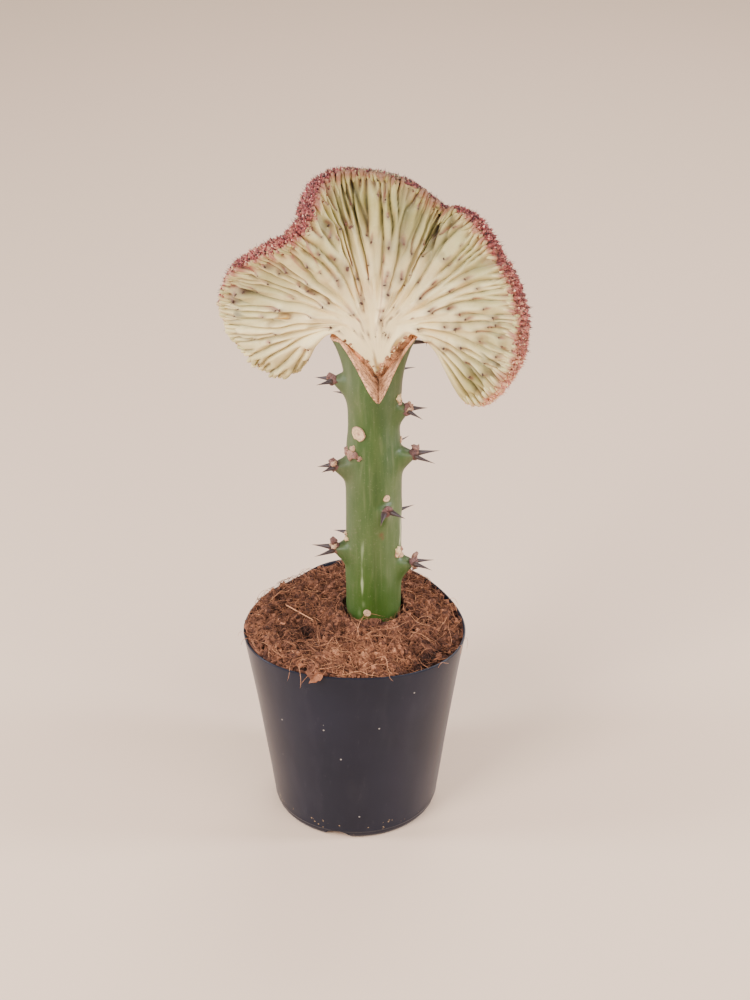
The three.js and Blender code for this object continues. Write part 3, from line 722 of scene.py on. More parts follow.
def makeFibres(material):
    random = np.random.default_rng(soil["seed"] + 2)
    x, y = scatterOnSoil(random, "fibres")
    count = len(x)
    heading = 2 * np.pi * random.random(count)
    length = 3.0 + 9.0 * random.random(count) ** 1.5
    curl = 0.9 * random.normal(size=count)
    lift = 0.3 + 1.4 * random.random(count) ** 2
    paths = clearOfStem(fibrePaths(random, x, y, heading, length, 7, curl, lift))
    radii = (0.06 + 0.12 * random.random(count) ** 2)[:, None] * np.array([1, 1, 1, 0.95, 0.9, 0.7, 0.4])
    points, faces = tubes(paths, radii, 3)
    tint = perPoint(0.22 + 0.68 * random.random(count) + 0.6 * patchTintAndShade(x, y), points)
    newPiece("coir_fibres", points, faces, material, None, {"tint": tint})


def makeLongFibres(material):
    # long loose strands: some lie across the bed and some hang over the rim
    random = np.random.default_rng(soil["seed"] + 3)
    count, steps = soil["longFibres"], 14
    x, y = scatterOnSoil(random, "longFibres")
    paths = fibrePaths(random, x, y, anyTurns(random, len(x)), 11 + 12 * random.random(len(x)), steps,
                       1.1 * random.normal(size=len(x)), 0.8 + 1.4 * random.random(len(x)))
    s = np.linspace(0, 1, steps)
    bare = np.array([-34.0, 8.5, 105.0]) * (1 - s[:, None]) + np.array([-19.5, -6.0, 105.2]) * s[:, None]
    overRim = [bare]
    for degrees, reach, drop in soil["overRim"]:
        a = math.radians(degrees)
        rim = pot["rim"] + outOfRound(a, 102.0)
        radius = rim - 9 + (9 + 0.35 * reach) * np.sin(s * np.pi / 2)
        over = np.clip((radius - rim + 2) / 3, 0, 1)
        ground = soilHeight(radius * math.cos(a), radius * math.sin(a))
        z = ground * (1 - over) + over * np.maximum(pot["height"] + 1.0, ground - 1)
        z = z + 0.8 * np.sin(np.pi * s) - drop * np.clip(s - 0.62, 0, 1) ** 1.5 * 3
        drift = a + 0.10 * np.sin(3 * s + degrees) * s
        overRim.append(stacked(radius * np.cos(drift), radius * np.sin(drift), z))
    paths = clearOfStem(np.concatenate([paths, np.array(overRim)]))
    radii = (0.11 + 0.09 * random.random(len(paths)))[:, None] * np.linspace(1, 0.45, steps)
    radii[count] = np.linspace(0.42, 0.26, steps)  # the stiff bare one at the left
    points, faces = tubes(paths, radii, 4)
    tint = perPoint(0.66 + 0.34 * random.random(len(paths)), points)
    newPiece("loose_fibres", points, faces, material, None, {"tint": tint})


coir = soilMaterial()
makeSoilBed(coir)
makeCrumbs(coir)
makeChips(coir)
makeFibres(coir)
makeLongFibres(coir)


# stock: a soft five-angled stem with a V-shaped cleft at its top

stock = {
    "radius": 13.0, "bottom": 44.0, "collar": 84.0, "skinFrom": 96.0, "top": 251.4, "ribs": 5,
    "ribHeight": 0.035, "ribTurn": math.radians(10),
    "flareStart": 224.0, "flareReach": 6.6, "flarePower": 2.2, "narrow": 0.3, "around": 3.2, "above": 1.7,
    "below": 6.6, "columns": 236, "rows": 166}
cleft = {"x": 11.0, "z": 229.7, "left": 0.76, "right": 0.74, "halfFlat": 5.0, "drop": 0.76}
nodes = [  # compass angle, height, spread and length of the spines, dried knobs beside them, how far out
    (188, 230.5, 46, 6.6, 3, 6), (345, 216, 38, 7.6, 5, 4.6), (199, 187.5, 40, 6, 4, 6.8),
    (349, 192, 42, 9, 4, 6.8), (295, 167, 74, 6.6, 1, 3), (196, 142, 45, 8.4, 5, 6.2),
    (350, 133, 45, 8.4, 8, 6.4), (118, 214, 60, 8, 2, 5.6), (62, 226, 60, 8, 2, 5.6), (128, 176, 60, 8, 3, 6),
    (66, 186, 60, 8, 1, 5.6), (122, 138, 60, 8, 2, 6), (60, 150, 60, 8, 3, 6)]
scars = [  # compass angle, height, radius, how ragged
    (234, 205.6, 3.5, 1.0), (298, 172.6, 1.7, 0.4), (330, 139, 1.5, 0.5), (257, 110.0, 1.8, 0.3),
    (100, 196, 2.4, 0.6), (352, 198.5, 1.6, 0.5), (74, 131, 2.2, 0.5)]
lumps = [  # compass angle, height, half width and tint of the dry knobs that sit on the skin above the nodes
    (204, 194.8, 2.2, 0.5), (215, 193.6, 2.6, 0.6), (227, 194.6, 2.0, 0.45), (221, 197.4, 1.7, 0.75),
    (238, 193.2, 1.3, 0.6), (336, 222.0, 2.4, 0.95), (343, 219.5, 1.8, 0.7), (334, 140.8, 2.3, 0.95),
    (341, 138.0, 2.0, 0.8), (352, 139.5, 1.9, 0.6), (205, 147.0, 1.6, 0.9), (198, 149.5, 1.4, 0.8)]
wounds = [(287, 153.5, 1.2), (290, 151.5, 0.8)]  # compass angle, height, radius
sapHighlights = [  # compass angle, lowest and highest end, half width of the glossy streaks of dried sap, their pale colour a painted highlight
    (246, 119, 150, 0.42), (248, 113.5, 115.5, 0.9), (240, 107.5, 111, 0.7), (342, 143, 162, 0.7)]


def alongSkin(angle, degrees):  # millimetres round the stem from a compass angle
    return np.abs(compassFrom(angle, degrees)) * math.radians(1) * stock["radius"]


def stemRadius(angle, z):
    # ribs: radius * (1 + share * cos(5 * angle)), with a waist below the cut; each node adds a bump, steep
    # above and long below
    ribs = ease(104, 120, z) * stock["ribHeight"] * np.cos(stock["ribs"] * (angle + stock["ribTurn"]))
    waist = 0.095 * hill(z - 209, 13) - 0.03 * hill(z - 132, 16) * (np.cos(angle) < 0)
    radius = stock["radius"] * (1 + ribs - waist)
    for degrees, height, _, _, _, tall in nodes:
        around = alongSkin(angle, degrees)
        rise = z - height
        along = np.where(rise > 0, rise / stock["above"], rise / stock["below"])
        width = stock["around"] + 0.10 * np.clip(-rise, 0, 12)
        radius = radius + tall * hill(around, width) * np.exp(-along ** 2)
    return radius


def stemSpread(z):  # the top flares sideways below the fan and narrows front to back
    start, top = stock["flareStart"], stock["top"]
    flare = stock["flareReach"] * np.clip((z - start) / (top - start), 0, 1) ** stock["flarePower"]
    return 1 + flare / stock["radius"], 1 - stock["narrow"] * ease(start, top, z)


def stemPoint(angle, z):
    radius = stemRadius(angle, z)
    wide, narrow = stemSpread(z)
    x = stemPlace[0] + radius * np.cos(angle) * wide
    return stacked(x, stemPlace[1] + radius * np.sin(angle) * narrow, z)


def outOfStem(angle, up=0.0):  # the direction away from the stem's axis
    return stacked(np.cos(angle), np.sin(angle), up)


def roundStem(angle):  # the direction round the stem
    return np.array([-math.sin(angle), math.cos(angle), 0])


def cleftHeight(x, y):  # the cut's height over a place: a V across, whose bottom line drops outside the fan
    bottom = cleft["z"] - cleft["drop"] * np.maximum(0, np.abs(y - stemPlace[1]) - cleft["halfFlat"])
    away = x - cleft["x"]
    return bottom + np.where(away < 0, -away / cleft["left"], away / cleft["right"])


def stockMaterial():
    shade = Shade("waxy_green_stem", Specular_IOR_Level=0.35, Coat_Roughness=0.25)
    bloom, low, drip, wound, collar = shade.marks("bloom", "low", "drip", "wound", "collar")
    cloud = shade.noise(9, 4, shade.stretched(1, 1, 0.35))
    fine = shade.noise(1.1, 4, rough=0.6)
    streak = shade.noise(1.6, 3, shade.stretched(1, 1, 0.08))
    dots = (1 - shade.cells(6.5).clamped(0.035, 0.06)) * (shade.noise(13, 2) > 0.55)
    base = shade.layered(
        paint(46, 72, 24),
        (cloud.clamped(0.38, 0.62), 66, 86, 38),
        # greyer waxy bloom, which is also a painted reflection of the side lamps on the stem's flanks
        ((bloom * 0.8 + cloud * 0.25 + streak * 0.2 - 0.18).clamped(0.1, 0.95), 78, 88, 56),
        (low * 0.6, 54, 82, 22),
        ((streak - 0.5).clamped(0.03, 0.25) * 0.22, 112, 116, 80),
        ((0.5 - streak).clamped(0.03, 0.25) * 0.22, 36, 56, 22),
        ((fine - 0.60).clamped(0.0, 0.12) * 0.3, 118, 122, 90),
        ((cloud * 0.5 + fine * 0.5 - 0.55).clamped(0.0, 0.1) * bloom * 0.3, 112, 96, 76),
        (dots * 0.85, 44, 34, 26),
        # streaks of dried sap, with a painted highlight in their pale colour
        (drip * (0.5 + streak * 0.8).clamped(0.2, 1.0), 176, 186, 140),
        (wound, 88, 62, 30),
        (collar, 98, 98, 74))
    shade.bump(fine * 0.4 + streak * 0.6, 0.14, 0.5)
    wet = (low * 0.25 + 0.05) * (1.2 - bloom).clamped(0.2, 0.9) + drip * 0.6
    return shade.finish(Base_Color=base, Roughness=0.34 + bloom * 0.14 + fine * 0.10, Coat_Weight=wet)


def stemMarks(points):  # what the stem's material reads
    compass = np.arctan2(points[:, 1] - stemPlace[1], points[:, 0] - stemPlace[0])
    side = 0.5 - 0.5 * np.cos(compass - math.radians(285))
    collar, wound, drip = np.zeros((3, len(points)))
    for degrees, height, *_ in nodes:
        tip = stemPoint(np.radians(degrees), height)
        collar = np.maximum(collar, hill(lengthOf(points - tip), 3.2))
    for degrees, height, size in wounds:
        place = stemPoint(np.radians(degrees), height)
        wound = np.maximum(wound, hill(lengthOf(points - place), size))
    for degrees, lowest, highest, wide in sapHighlights:
        z = points[:, 2]
        within = ease(lowest - 2, lowest + 3, z) * (1 - ease(highest - 5, highest + 2, z))
        torn = np.clip(0.55 + 0.9 * noise(points * [1, 1, 0.5], 2.2, 45), 0, 1)
        torn = torn * (0.4 + 0.6 * ease(lowest + 22, lowest + 8, z))
        aside = alongSkin(compass, degrees) + 0.5 * noise(points, 4.5, 44)
        drip = np.maximum(drip, hill(aside, wide) * within * torn)
    # waxy bloom, strongest away from the front, where it also paints the side lamps' grey reflection on the
    # flanks
    bloom = np.clip(0.15 + 0.75 * ease(0.05, 0.35, side) + 0.25 * noise(points, 14, 42), 0, 1)
    return {"drip": drip, "bloom": bloom, "low": 1 - ease(112, 186, points[:, 2]), "wound": wound,
            "collar": 0.7 * collar}


def makeStock(material):
    columns, rows = stock["columns"], stock["rows"]
    angle = -np.pi / 2 + 2 * np.pi * (np.arange(columns) + 0.5) / columns

    def underCut(z):
        at = stemPoint(angle, z)
        return z < cleftHeight(at[:, 0], at[:, 1])

    topEdge = boundary(np.full(columns, 110.0), np.full(columns, stock["top"]), underCut)[1]
    share = np.linspace(0, 1, rows)[:, None]
    z = np.concatenate([np.full((1, columns), stock["bottom"]), np.full((1, columns), stock["collar"]),
                        stock["skinFrom"] + (topEdge - stock["skinFrom"]) * share])
    wide = np.broadcast_to(angle, z.shape)
    skin = stemPoint(wide, z)
    outward = outOfStem(wide)
    relief = 0.16 * noise(skin, 6, 40) + 0.07 * noise(skin * [1, 1, 0.4], 2.0, 41)
    skin = skin + outward * (relief * ease(0, 6, topEdge - z))[..., None]
    rim = skin[-1]
    inner = []
    for s in (0.35, 0.7, 0.96):  # hidden faces of the cut, just under the cork
        x, y = rim[:, 0] + (cleft["x"] - rim[:, 0]) * s, rim[:, 1]
        height = np.minimum(cleftHeight(x, y), stock["top"]) - 0.45 - 1.6 * (s > 0.9)
        inner.append(stacked(x, y, height))
    grid = np.concatenate([skin, np.array(inner)])
    count = len(grid)
    points = np.concatenate([[[stemPlace[0], stemPlace[1], stock["bottom"]]], grid.reshape(-1, 3)])
    c = np.arange(columns)
    cap = stacked(0, 1 + np.roll(c, -1), 1 + c)
    half = np.arange(columns // 2 - 1)
    last = 1 + (count - 1) * columns
    seam = last + stacked(half, half + 1, columns - 2 - half, columns - 1 - half)
    walls = gridFaces(count, columns, wrapColumns=True) + 1
    newPiece("green_stock", points, [walls, cap, seam], material, "stock", stemMarks(points))


cork = {
    "left": 74, "right": 68, "rows": 40, "furthest": 16.0, "past": 0.12, "thick": 0.55,
    "scabs": [  # place, how far it counts along x, y and z, and width
        ((11.5, -1.0, 231.8), (1, 0.7, 0.7), 2.6), ((19.5, 0.5, 244), (1.0, 0.9, 0.45), 2.6)]}
callus = {
    "steps": 70, "sides": 22, "tall": 3.0, "lumps": 70,
    "scabs": [((11.0, 3.5, 234), (1, 0.5, 0.8), 3.2), ((22.0, 3.5, 246.5), (0.6, 0.6, 0.8), 3.6)]}


def corkMaterial():
    shade = Shade("graft_cork", Roughness=0.85, Specular_IOR_Level=0.3)
    grain = shade.noise(1.0, 5, shade.stretched(0.45, 1.5, 0.45), 0.65)
    patch, crumbs = shade.noise(5, 3), shade.noise(0.6, 4, rough=0.7)
    cracks = 1 - shade.cells(1.9, "DISTANCE_TO_EDGE", shade.stretched(0.4, 1.3, 0.4)).clamped(0.0, 0.06)
    strand = shade.noise(2.4, 3, shade.stretched(0.4, 1.5, 0.4)) - 0.5
    veins = (1 - (strand * strand).clamped(0.0, 0.0025)) * crumbs.clamped(0.35, 0.55)
    base = shade.layered(
        paint(250, 190, 146),
        (patch.clamped(0.3, 0.7), 218, 160, 120),
        (grain.clamped(0.45, 0.75) * 0.55, 248, 190, 142),
        (crumbs.clamped(0.55, 0.75) * 0.4, 118, 72, 50),
        (veins * 0.7, 92, 52, 38),
        (cracks * grain.clamped(0.3, 0.6) * 0.8, 92, 52, 38),
        (shade.mark("seam") * 0.75, 84, 50, 38),
        (shade.mark("scab") * (0.5 + patch * 0.8).clamped(0.4, 1.0), 92, 54, 28))
    shade.bump(grain * 0.6 + crumbs * 0.4 - cracks * 0.5 - veins * 0.4, 0.35, 0.9)
    return shade.finish(Base_Color=base)


def scabsOn(points, scabs):  # each a bell curve of the weighted distance from its place
    return np.max([hill(lengthOf((points - place) * weights), width) for place, weights, width in scabs], 0)


def cutHeight(x, y):
    return np.minimum(cleftHeight(x, y), stock["top"])


def makeCork(material):
    # lining of the cut: x runs from skin to skin by way of the V's corner, y from the front to the back skin
    ends = [stemPoint(turn, stock["top"])[0] for turn in (np.pi, 0.0)]
    x = np.concatenate([np.linspace(ends[0] + 0.1, cleft["x"], cork["left"]),
                        np.linspace(cleft["x"], ends[1] - 0.1, cork["right"])[1:]])
    columns, rows = len(x), cork["rows"]
    borders = []
    for direction in (-1, 1):
        def withinSkin(reach):
            y = stemPlace[1] + direction * reach
            z = cutHeight(x, y)
            wide, narrow = stemSpread(z)
            dx, dy = (x - stemPlace[0]) / wide, (y - stemPlace[1]) / narrow
            return np.hypot(dx, dy) < stemRadius(np.arctan2(dy, dx), z)

        reach = boundary(np.zeros(columns), np.full(columns, cork["furthest"]), withinSkin)[0]
        borders.append(stemPlace[1] + direction * (reach + cork["past"]))
    share = np.linspace(0, 1, rows)[:, None]
    y = borders[0] + (borders[1] - borders[0]) * share
    x = np.broadcast_to(x, y.shape)
    onTop = ease(-0.6, 0.4, cleftHeight(x, y) - stock["top"])  # the blunt ends of the two arms
    lean = np.where(x < cleft["x"], 1.0 / cleft["left"], -1.0 / cleft["right"]) * (1 - onTop)
    facing = unit(stacked(lean, 0.0, 1.0))
    place = stacked(x, y, cutHeight(x, y))
    rimShare = np.minimum(share, 1 - share) * (borders[1] - borders[0])
    relief = 0.12 + 0.28 * noise(place * [0.5, 1, 0.5], 1.3, 50) + 0.14 * noise(place, 0.7, 51)
    relief = relief + 0.22 * (1 - ease(0, 0.9, rimShare))
    relief = relief - 0.15 * hill(x - cleft["x"] - 0.25 * noise(place, 1.5, 52), 0.28)
    upper = place + facing * relief[..., None]
    lower = place - facing * cork["thick"]
    points = np.concatenate([upper, lower[::-1]]).reshape(-1, 3)
    marks = {"seam": hill(points[:, 0] - cleft["x"], 0.35), "scab": scabsOn(points, cork["scabs"])}
    newPiece("graft_cork", points, shellFaces(rows, columns), material, None, marks)


def makeCallus(material):
    # rough tissue that fills the space from the cut to the fan's root: a band from one arm's tip down to the
    # corner and up the other, each cross-section an oval from the cut's face to the fan's edge
    v = np.linspace(-0.05, -1, callus["steps"])
    u = np.linspace(0, 1, 14)[1:-1]
    root = np.concatenate([fanPoint(0 * v, v), fanPoint(u, 0 * u - 1), fanPoint(0 * v + 1, v[::-1])])
    rise = (stock["top"] - 0.6 - cleft["z"]) * np.concatenate([(1 + v) / 0.95, 0 * u, (1 + v[::-1]) / 0.95])
    slope = np.where(np.arange(len(rise)) < len(rise) / 2, -cleft["left"], cleft["right"])
    cut = stacked(cleft["x"] + slope * rise, stemPlace[1], cleft["z"] + rise)
    steps, sides, lumps = len(root), callus["sides"], callus["lumps"]
    a = circle(sides)
    across, up = [np.sign(wave) * np.abs(wave) ** 0.7 for wave in (np.cos(a), np.sin(a))]
    reach = lengthOf(cut - root)
    toCut = unit(cut - root + np.array([0, 0, -1e-3]))
    fromEnd = np.minimum(np.arange(steps), np.arange(steps)[::-1])
    tall = callus["tall"] * np.sqrt(np.clip(fromEnd / 6, 0.05, 1))
    rings = ((root + cut) / 2)[:, None] + toCut[:, None] * (across * (reach / 2 + 0.9)[:, None])[..., None]
    rings = rings + np.array([0, 1.0, 0]) * (up * tall[:, None])[..., None]
    rings = rings + 0.42 * noise3(rings, 1.7, 54) + 0.22 * noise3(rings, 0.8, 57)
    band = np.concatenate([rings[:1].mean(1), rings.reshape(-1, 3), rings[-1:].mean(1)])
    random = np.random.default_rng(58)
    right = np.where(random.random(lumps) < 0.9, 1.0, 0.0)
    down = -1 + 0.97 * random.random(lumps) ** 1.3
    size = 0.40 + 0.65 * random.random(lumps) ** 1.5
    inwards = (1 - 2 * right) * (0.3 + 1.2 * random.random(lumps))
    forwards = -fan["tipThick"] * (0.9 + 0.25 * random.random(lumps))
    front = fanPoint(right, down) + stacked(inwards, forwards, 0.0)
    crumbs, crumbFaces = spun(blob, 6, front, random.normal(size=(lumps, 3)), size, size * 1.1,
                              anyTurns(random, lumps), 0.8)
    crumbs = crumbs + 0.35 * noise3(crumbs, 0.9, 59)
    points, faces = joined([(band, ringNumbers(1, steps, sides)), (crumbs, crumbFaces)])
    crumbScab = perPoint(0.2 + 0.7 * random.random(lumps), crumbs)
    scab = np.maximum(scabsOn(points, callus["scabs"]), np.append(0 * band[:, 0], crumbScab))
    newPiece("graft_callus", points, faces, material, None, {"seam": 0 * scab, "scab": scab})


horns = {"steps": 9, "sides": 8, "root": 1.6, "taper": 1.3, "tip": 0.05, "apart": 1.2, "sunk": 1.0,
         "lone": (22.6, 8.2, 246.4), "loneReach": (11.0, 1.4, -0.6), "loneRoot": 1.15}
dryParts = {
    "disc": [  # profile of a round leaf scar: a low raised rim about a dished middle
        (0, -1.6), (0.94, -1.6), (1.06, 0.05), (1.02, 0.36), (0.86, 0.52), (0.68, 0.45), (0.44, 0.36),
        (0.18, 0.32), (0, 0.3)],
    "pad": [(0, -1.0), (0.85, -1.0), (1.05, -0.2), (0.9, 0.45), (0.55, 0.85), (0, 0.95)],
    "discSides": 20, "padSides": 12, "discHeight": 0.9, "shieldWidth": 2.9, "length": 1.5, "lumpLength": 1.1}


def hornMaterial():
    shade = Shade("dark_stem_spines", Roughness=0.5)
    mottle = shade.noise(0.9, 3)
    base = shade.ramp(shade.mark("tint") + mottle * 0.2 - 0.1, (0.0, 84, 60, 50), (0.3, 54, 40, 42),
                      (0.75, 60, 44, 46), (1.0, 112, 78, 60))
    return shade.finish(Base_Color=base)


def shieldMaterial():
    shade = Shade("dry_node_scars", Roughness=0.75)
    tint = shade.mark("tint")
    mottle = shade.noise(0.8, 4, rough=0.65)
    cracks = 1 - shade.cells(0.9, "DISTANCE_TO_EDGE").clamped(0.0, 0.12)
    base = shade.ramp(tint + mottle * 0.6 - 0.3, (0.0, 66, 44, 46), (0.35, 124, 86, 82), (0.7, 190, 144, 118),
                      (1.0, 246, 212, 156))
    base = shade.layered(base, (cracks * (1.25 - tint).clamped(0.1, 0.9) * 0.7, 112, 66, 44))
    shade.bump(mottle - cracks * 0.6, 0.3, 0.8)
    return shade.finish(Base_Color=base)


def makeStemSpines():
    # two curved horns for each node, thick where they leave its shield
    random = np.random.default_rng(61)
    paths, radii = [], []
    s = np.linspace(0, 1, horns["steps"])[:, None]
    for degrees, height, spread, length, *_ in nodes:
        angle = math.radians(degrees)
        outward, across = outOfStem(angle), roundStem(angle)
        root = stemPoint(angle, height - 0.3)
        for side in (-1, 1):
            yaw = math.radians(side * spread / 2 + 6 * random.normal())
            aim = outward * math.cos(yaw) + across * math.sin(yaw)
            aim = aim + np.array([0, 0, 0.10 * random.normal() - 0.06])
            reach = length * (1.05 + 0.35 * random.random())
            start = root + across * side * horns["apart"] - outward * horns["sunk"]
            sag = np.array([0, 0, -1.0]) * (s ** 2) * reach * 0.06 * random.normal()
            paths.append(start + unit(aim) * (reach + 1.3) * s + sag)
            thick = horns["root"] * (1 - s[:, 0]) ** horns["taper"]
            radii.append(thick * (0.8 + 0.3 * random.random()) + horns["tip"])
    # a single long one behind the right arm of the cleft
    paths.append(np.array(horns["lone"]) + np.array(horns["loneReach"]) * s
                 + np.array([0, 0, 0.9]) * np.sin(np.pi * s) * 0.5)
    swell = np.sin(np.pi * np.clip(0.28 + 0.72 * s[:, 0], 0, 1)) ** 0.8
    radii.append(horns["loneRoot"] * swell + horns["tip"])
    points, faces = tubes(np.array(paths), np.array(radii), horns["sides"])
    tint = np.tile(tubeMarks(s[:, 0], horns["sides"]), len(paths))
    newPiece("stem_spines", points, faces, hornMaterial(), None, {"tint": tint})


def makeDiscs():  # the round leaf scars: points, faces and tint
    disc, sides = dryParts["disc"], dryParts["discSides"]
    degrees, height, radius, ragged = np.array(scars, dtype=float).T
    angle = np.radians(degrees)
    outward = outOfStem(angle)
    roots = stemPoint(angle, height) + outward * 0.05
    heights = np.full(len(radius), dryParts["discHeight"])
    points, faces = spun(disc, sides, roots, outward, radius, heights, 0 * radius)
    rough = perPoint(ragged, points)[:, None]
    points = points + rough * (0.36 * noise3(points, 1.5, 65) + 0.14 * noise3(points, 0.6, 68))
    across = tubeMarks(np.array([r for r, _ in disc]), sides)
    tint = 0.90 - 0.3 * hill(across, 0.2) - 0.10 * hill(across - 0.66, 0.14) - 0.2 * (across > 1)
    return points, faces, np.tile(tint, len(radius))


def makeNodeScars():
    # the leaf scars, and pads: a shield under each pair of horns, the dry knobs round it and the lumps
    random = np.random.default_rng(62)
    discPoints, discFaces, discTint = makeDiscs()
    pads = []  # root, direction, half width, half length, tint
    for degrees, z, _, _, knobs, _ in nodes:
        angle = math.radians(degrees)
        out, side = outOfStem(angle, 0.25), roundStem(angle)
        root = stemPoint(angle, z) - unit(out) * 0.2
        pads.append((root - unit(out) * 0.5, out, dryParts["shieldWidth"], dryParts["length"],
                     0.12 + 0.3 * random.random()))
        for _ in range(knobs):
            shift = side * 1.9 * random.normal() + np.array([0, 0, 1.0]) * (0.8 + 2.2 * random.normal())
            aim = out + 0.5 * random.normal(size=3)
            pads.append((root + shift * 0.8 + unit(out) * 0.2, aim, 1.0 + 0.8 * random.random(),
                         dryParts["length"], 0.1 + 0.8 * random.random()))
    for degrees, z, wide, tint in lumps:
        angle = math.radians(degrees)
        pads.append((stemPoint(angle, z), outOfStem(angle, 0.2), wide, dryParts["lumpLength"], tint))
    roots, aims, widths, lengths, tints = [np.array(column) for column in zip(*pads)]
    padPoints, padFaces = spun(dryParts["pad"], dryParts["padSides"], roots, aims, widths, lengths,
                               anyTurns(random, len(roots)), 0.8)
    padPoints = padPoints + 0.85 * noise3(padPoints, 1.2, 63) + 0.40 * noise3(padPoints, 0.5, 66)
    points, faces = joined([(discPoints, discFaces), (padPoints, padFaces)])
    tint = np.concatenate([discTint, perPoint(tints, padPoints)])
    newPiece("node_scars", points, faces, shieldMaterial(), None, {"tint": tint})


corkSkin = corkMaterial()
makeStock(stockMaterial())
makeCork(corkSkin)
makeStemSpines()
makeNodeScars()


# fan: lines of growth that leave the neck fanwise and meet the margin, u along it and v outwards

fan = {
    "margin": [  # x, y, z and the lean of the outward direction, positive where it leans back
        (-24.5, 22, 232.5, 52), (-32, 28, 223.5, 62), (-41, 31.5, 223.5, 68), (-50.5, 31.5, 233, 68),
        (-58, 26.5, 249, 56), (-61, 18, 267, 33), (-55, 9, 285, 8), (-43, 1, 296, -10),
        (-30.5, -4, 304.5, -20), (-23, -4, 313, -26), (-21, 3, 319.5, -20), (-16.5, 13, 325, 0),
        (-8, 20, 328, 14), (3.5, 20, 328, 20), (15.5, 17, 327.5, 22), (26.5, 16, 323.5, 22),
        (35, 19, 315.5, 16), (42, 21.5, 308.5, 6), (48.5, 15, 310.5, -6), (56.5, 6, 308, -16),
        (64.5, -1, 297, -24), (72.5, -7, 283, -30), (76.5, -10, 267, -32), (75.5, -10, 250, -30),
        (68.5, -7, 233.5, -22), (59.5, -2, 221.5, -10), (51, 2, 219.5, 0)],
    "pole": (8.0, 258.0), "neckX": 8.3, "neckHalf": 17.05, "neckZ": 254.0, "neckArch": 7.0, "spread": 108.0,
    "tipX": 10.9, "tipHalf": 1.3, "tipZ": 234.0, "tipThick": 4.7, "marginThick": 2.8,
    "ridges": (13, 26, 52, 104), "forks": ((0.21, 0.11, 0.06), (0.50, 0.14, 0.07), (0.78, 0.09, 0.06)),
    "ridgeHeight": 3.4, "marginHeight": 2.5, "columns": 640, "rows": 72, "bodyEnd": 0.94, "teethFrom": 0.90}
stations = np.array(fan["margin"], dtype=float)


def throughStations(values, t):  # smooth curve through a list of numbers, t from 0 to 1
    last = len(values) - 1
    place = np.clip(t, 0, 1) * last
    i = np.minimum(place.astype(int), last - 1)
    f = place - i
    padded = np.concatenate([[2 * values[0] - values[1]], values, [2 * values[-1] - values[-2]]])
    before, a, b, after = padded[i], padded[i + 1], padded[i + 2], padded[i + 3]
    square = (2 * before - 5 * a + 4 * b - after) * f ** 2
    return 0.5 * (2 * a + (b - before) * f + square + (3 * a - before - 3 * b + after) * f ** 3)


def marginAt(t):
    return stacked(*[throughStations(stations[:, i], t) for i in range(3)])


marginShares = np.linspace(0, 1, 801)
marginLengths = np.append(0, np.cumsum(lengthOf(np.diff(marginAt(marginShares), axis=0))))
marginLength = marginLengths[-1]


def stationU(number):  # u of a station, counted from 0
    return np.interp(np.asarray(number) / (len(stations) - 1), marginShares, marginLengths) / marginLength


def fanPoint(u, v):
    # below the neck a wedge whose sides curve in to its tip, above it a cubic from the neck to the margin
    u, v = np.broadcast_arrays(np.asarray(u, dtype=float), np.asarray(v, dtype=float))
    clipped = np.clip(u, 0, 1)
    t = np.interp(clipped * marginLength, marginLengths, marginShares)
    k = 2 * clipped - 1
    neck = fan["neckZ"] + fan["neckArch"] * (1 - k * k)
    start = stacked(fan["neckX"] + fan["neckHalf"] * k, stemPlace[1], neck)
    tip = stacked(fan["tipX"] + fan["tipHalf"] * k, stemPlace[1], fan["tipZ"])
    end = marginAt(t)
    lean = np.radians(throughStations(stations[:, 3], t))
    reach = lengthOf(end - start)[..., None]
    turn = np.radians(fan["spread"] * k)
    leaving = stacked(np.sin(turn), 0.0, np.cos(turn))
    radial = unit(stacked(end[..., 0] - fan["pole"][0], 0.0, end[..., 2] - fan["pole"][1]))
    arriving = radial * np.cos(lean)[..., None] + np.array([0, 1.0, 0]) * np.sin(lean)[..., None]
    w = v[..., None]
    above = (start * (2 * w ** 3 - 3 * w ** 2 + 1) + leaving * 1.1 * reach * (w ** 3 - 2 * w ** 2 + w)
             + end * (3 * w ** 2 - 2 * w ** 3) + arriving * 0.95 * reach * (w ** 3 - w ** 2))
    share = np.clip(w + 1, 0, 1) ** [1.45, 1, 1]
    return np.where(w < 0, tip + (start - tip) * share, above)


def fanNormal(u, v):  # facing of the front sheet, over a wide step so that tight folds stay open
    wide, small = 0.022, 0.001
    across = fanPoint(u + wide, v) - fanPoint(u - wide, v)
    outward = fanPoint(u, v + small) - fanPoint(u, np.where(v < 0, v - small, v))
    share = ease(-0.1, 0.12, v)[..., None]
    return unit(unit(np.cross(across, outward)) * share + np.array([0, -1.0, 0]) * (1 - share))


def ridgePhase(u, v, side):  # ridges wander a little, each side of the fan in its own way
    warp = 0.0036 * np.sin(2 * np.pi * 17 * u + 3 * v + 2 * side)
    warp = warp + 0.0014 * np.sin(2 * np.pi * 41 * u + 5 * v + side)
    warp = warp + 0.0034 * np.sin(2 * np.pi * 6.3 * u - 4 * v + 3 * side)
    finer = 0.0026 * np.sin(2 * np.pi * 11 * u + 8 * v) + 0.0012 * np.sin(2 * np.pi * 27 * u - 13 * v)
    warp = warp + finer * ease(0.1, 0.4, v)
    return u + warp * np.clip(12 * np.minimum(u, 1 - u), 0, 1)


def ridgeSkew(u):  # how far a ridge's crest leans to one side
    return 1.30 - 0.55 * u


def forkAt(level, number, side):  # how far out a ridge splits in two, and the ridge's own random number
    where, spread, _ = fan["forks"][min(level, 2)]
    own = hashed(stacked(number, fan["ridges"][level], int(side > 0)), 5)
    return where + spread * (2 * own - 1), own


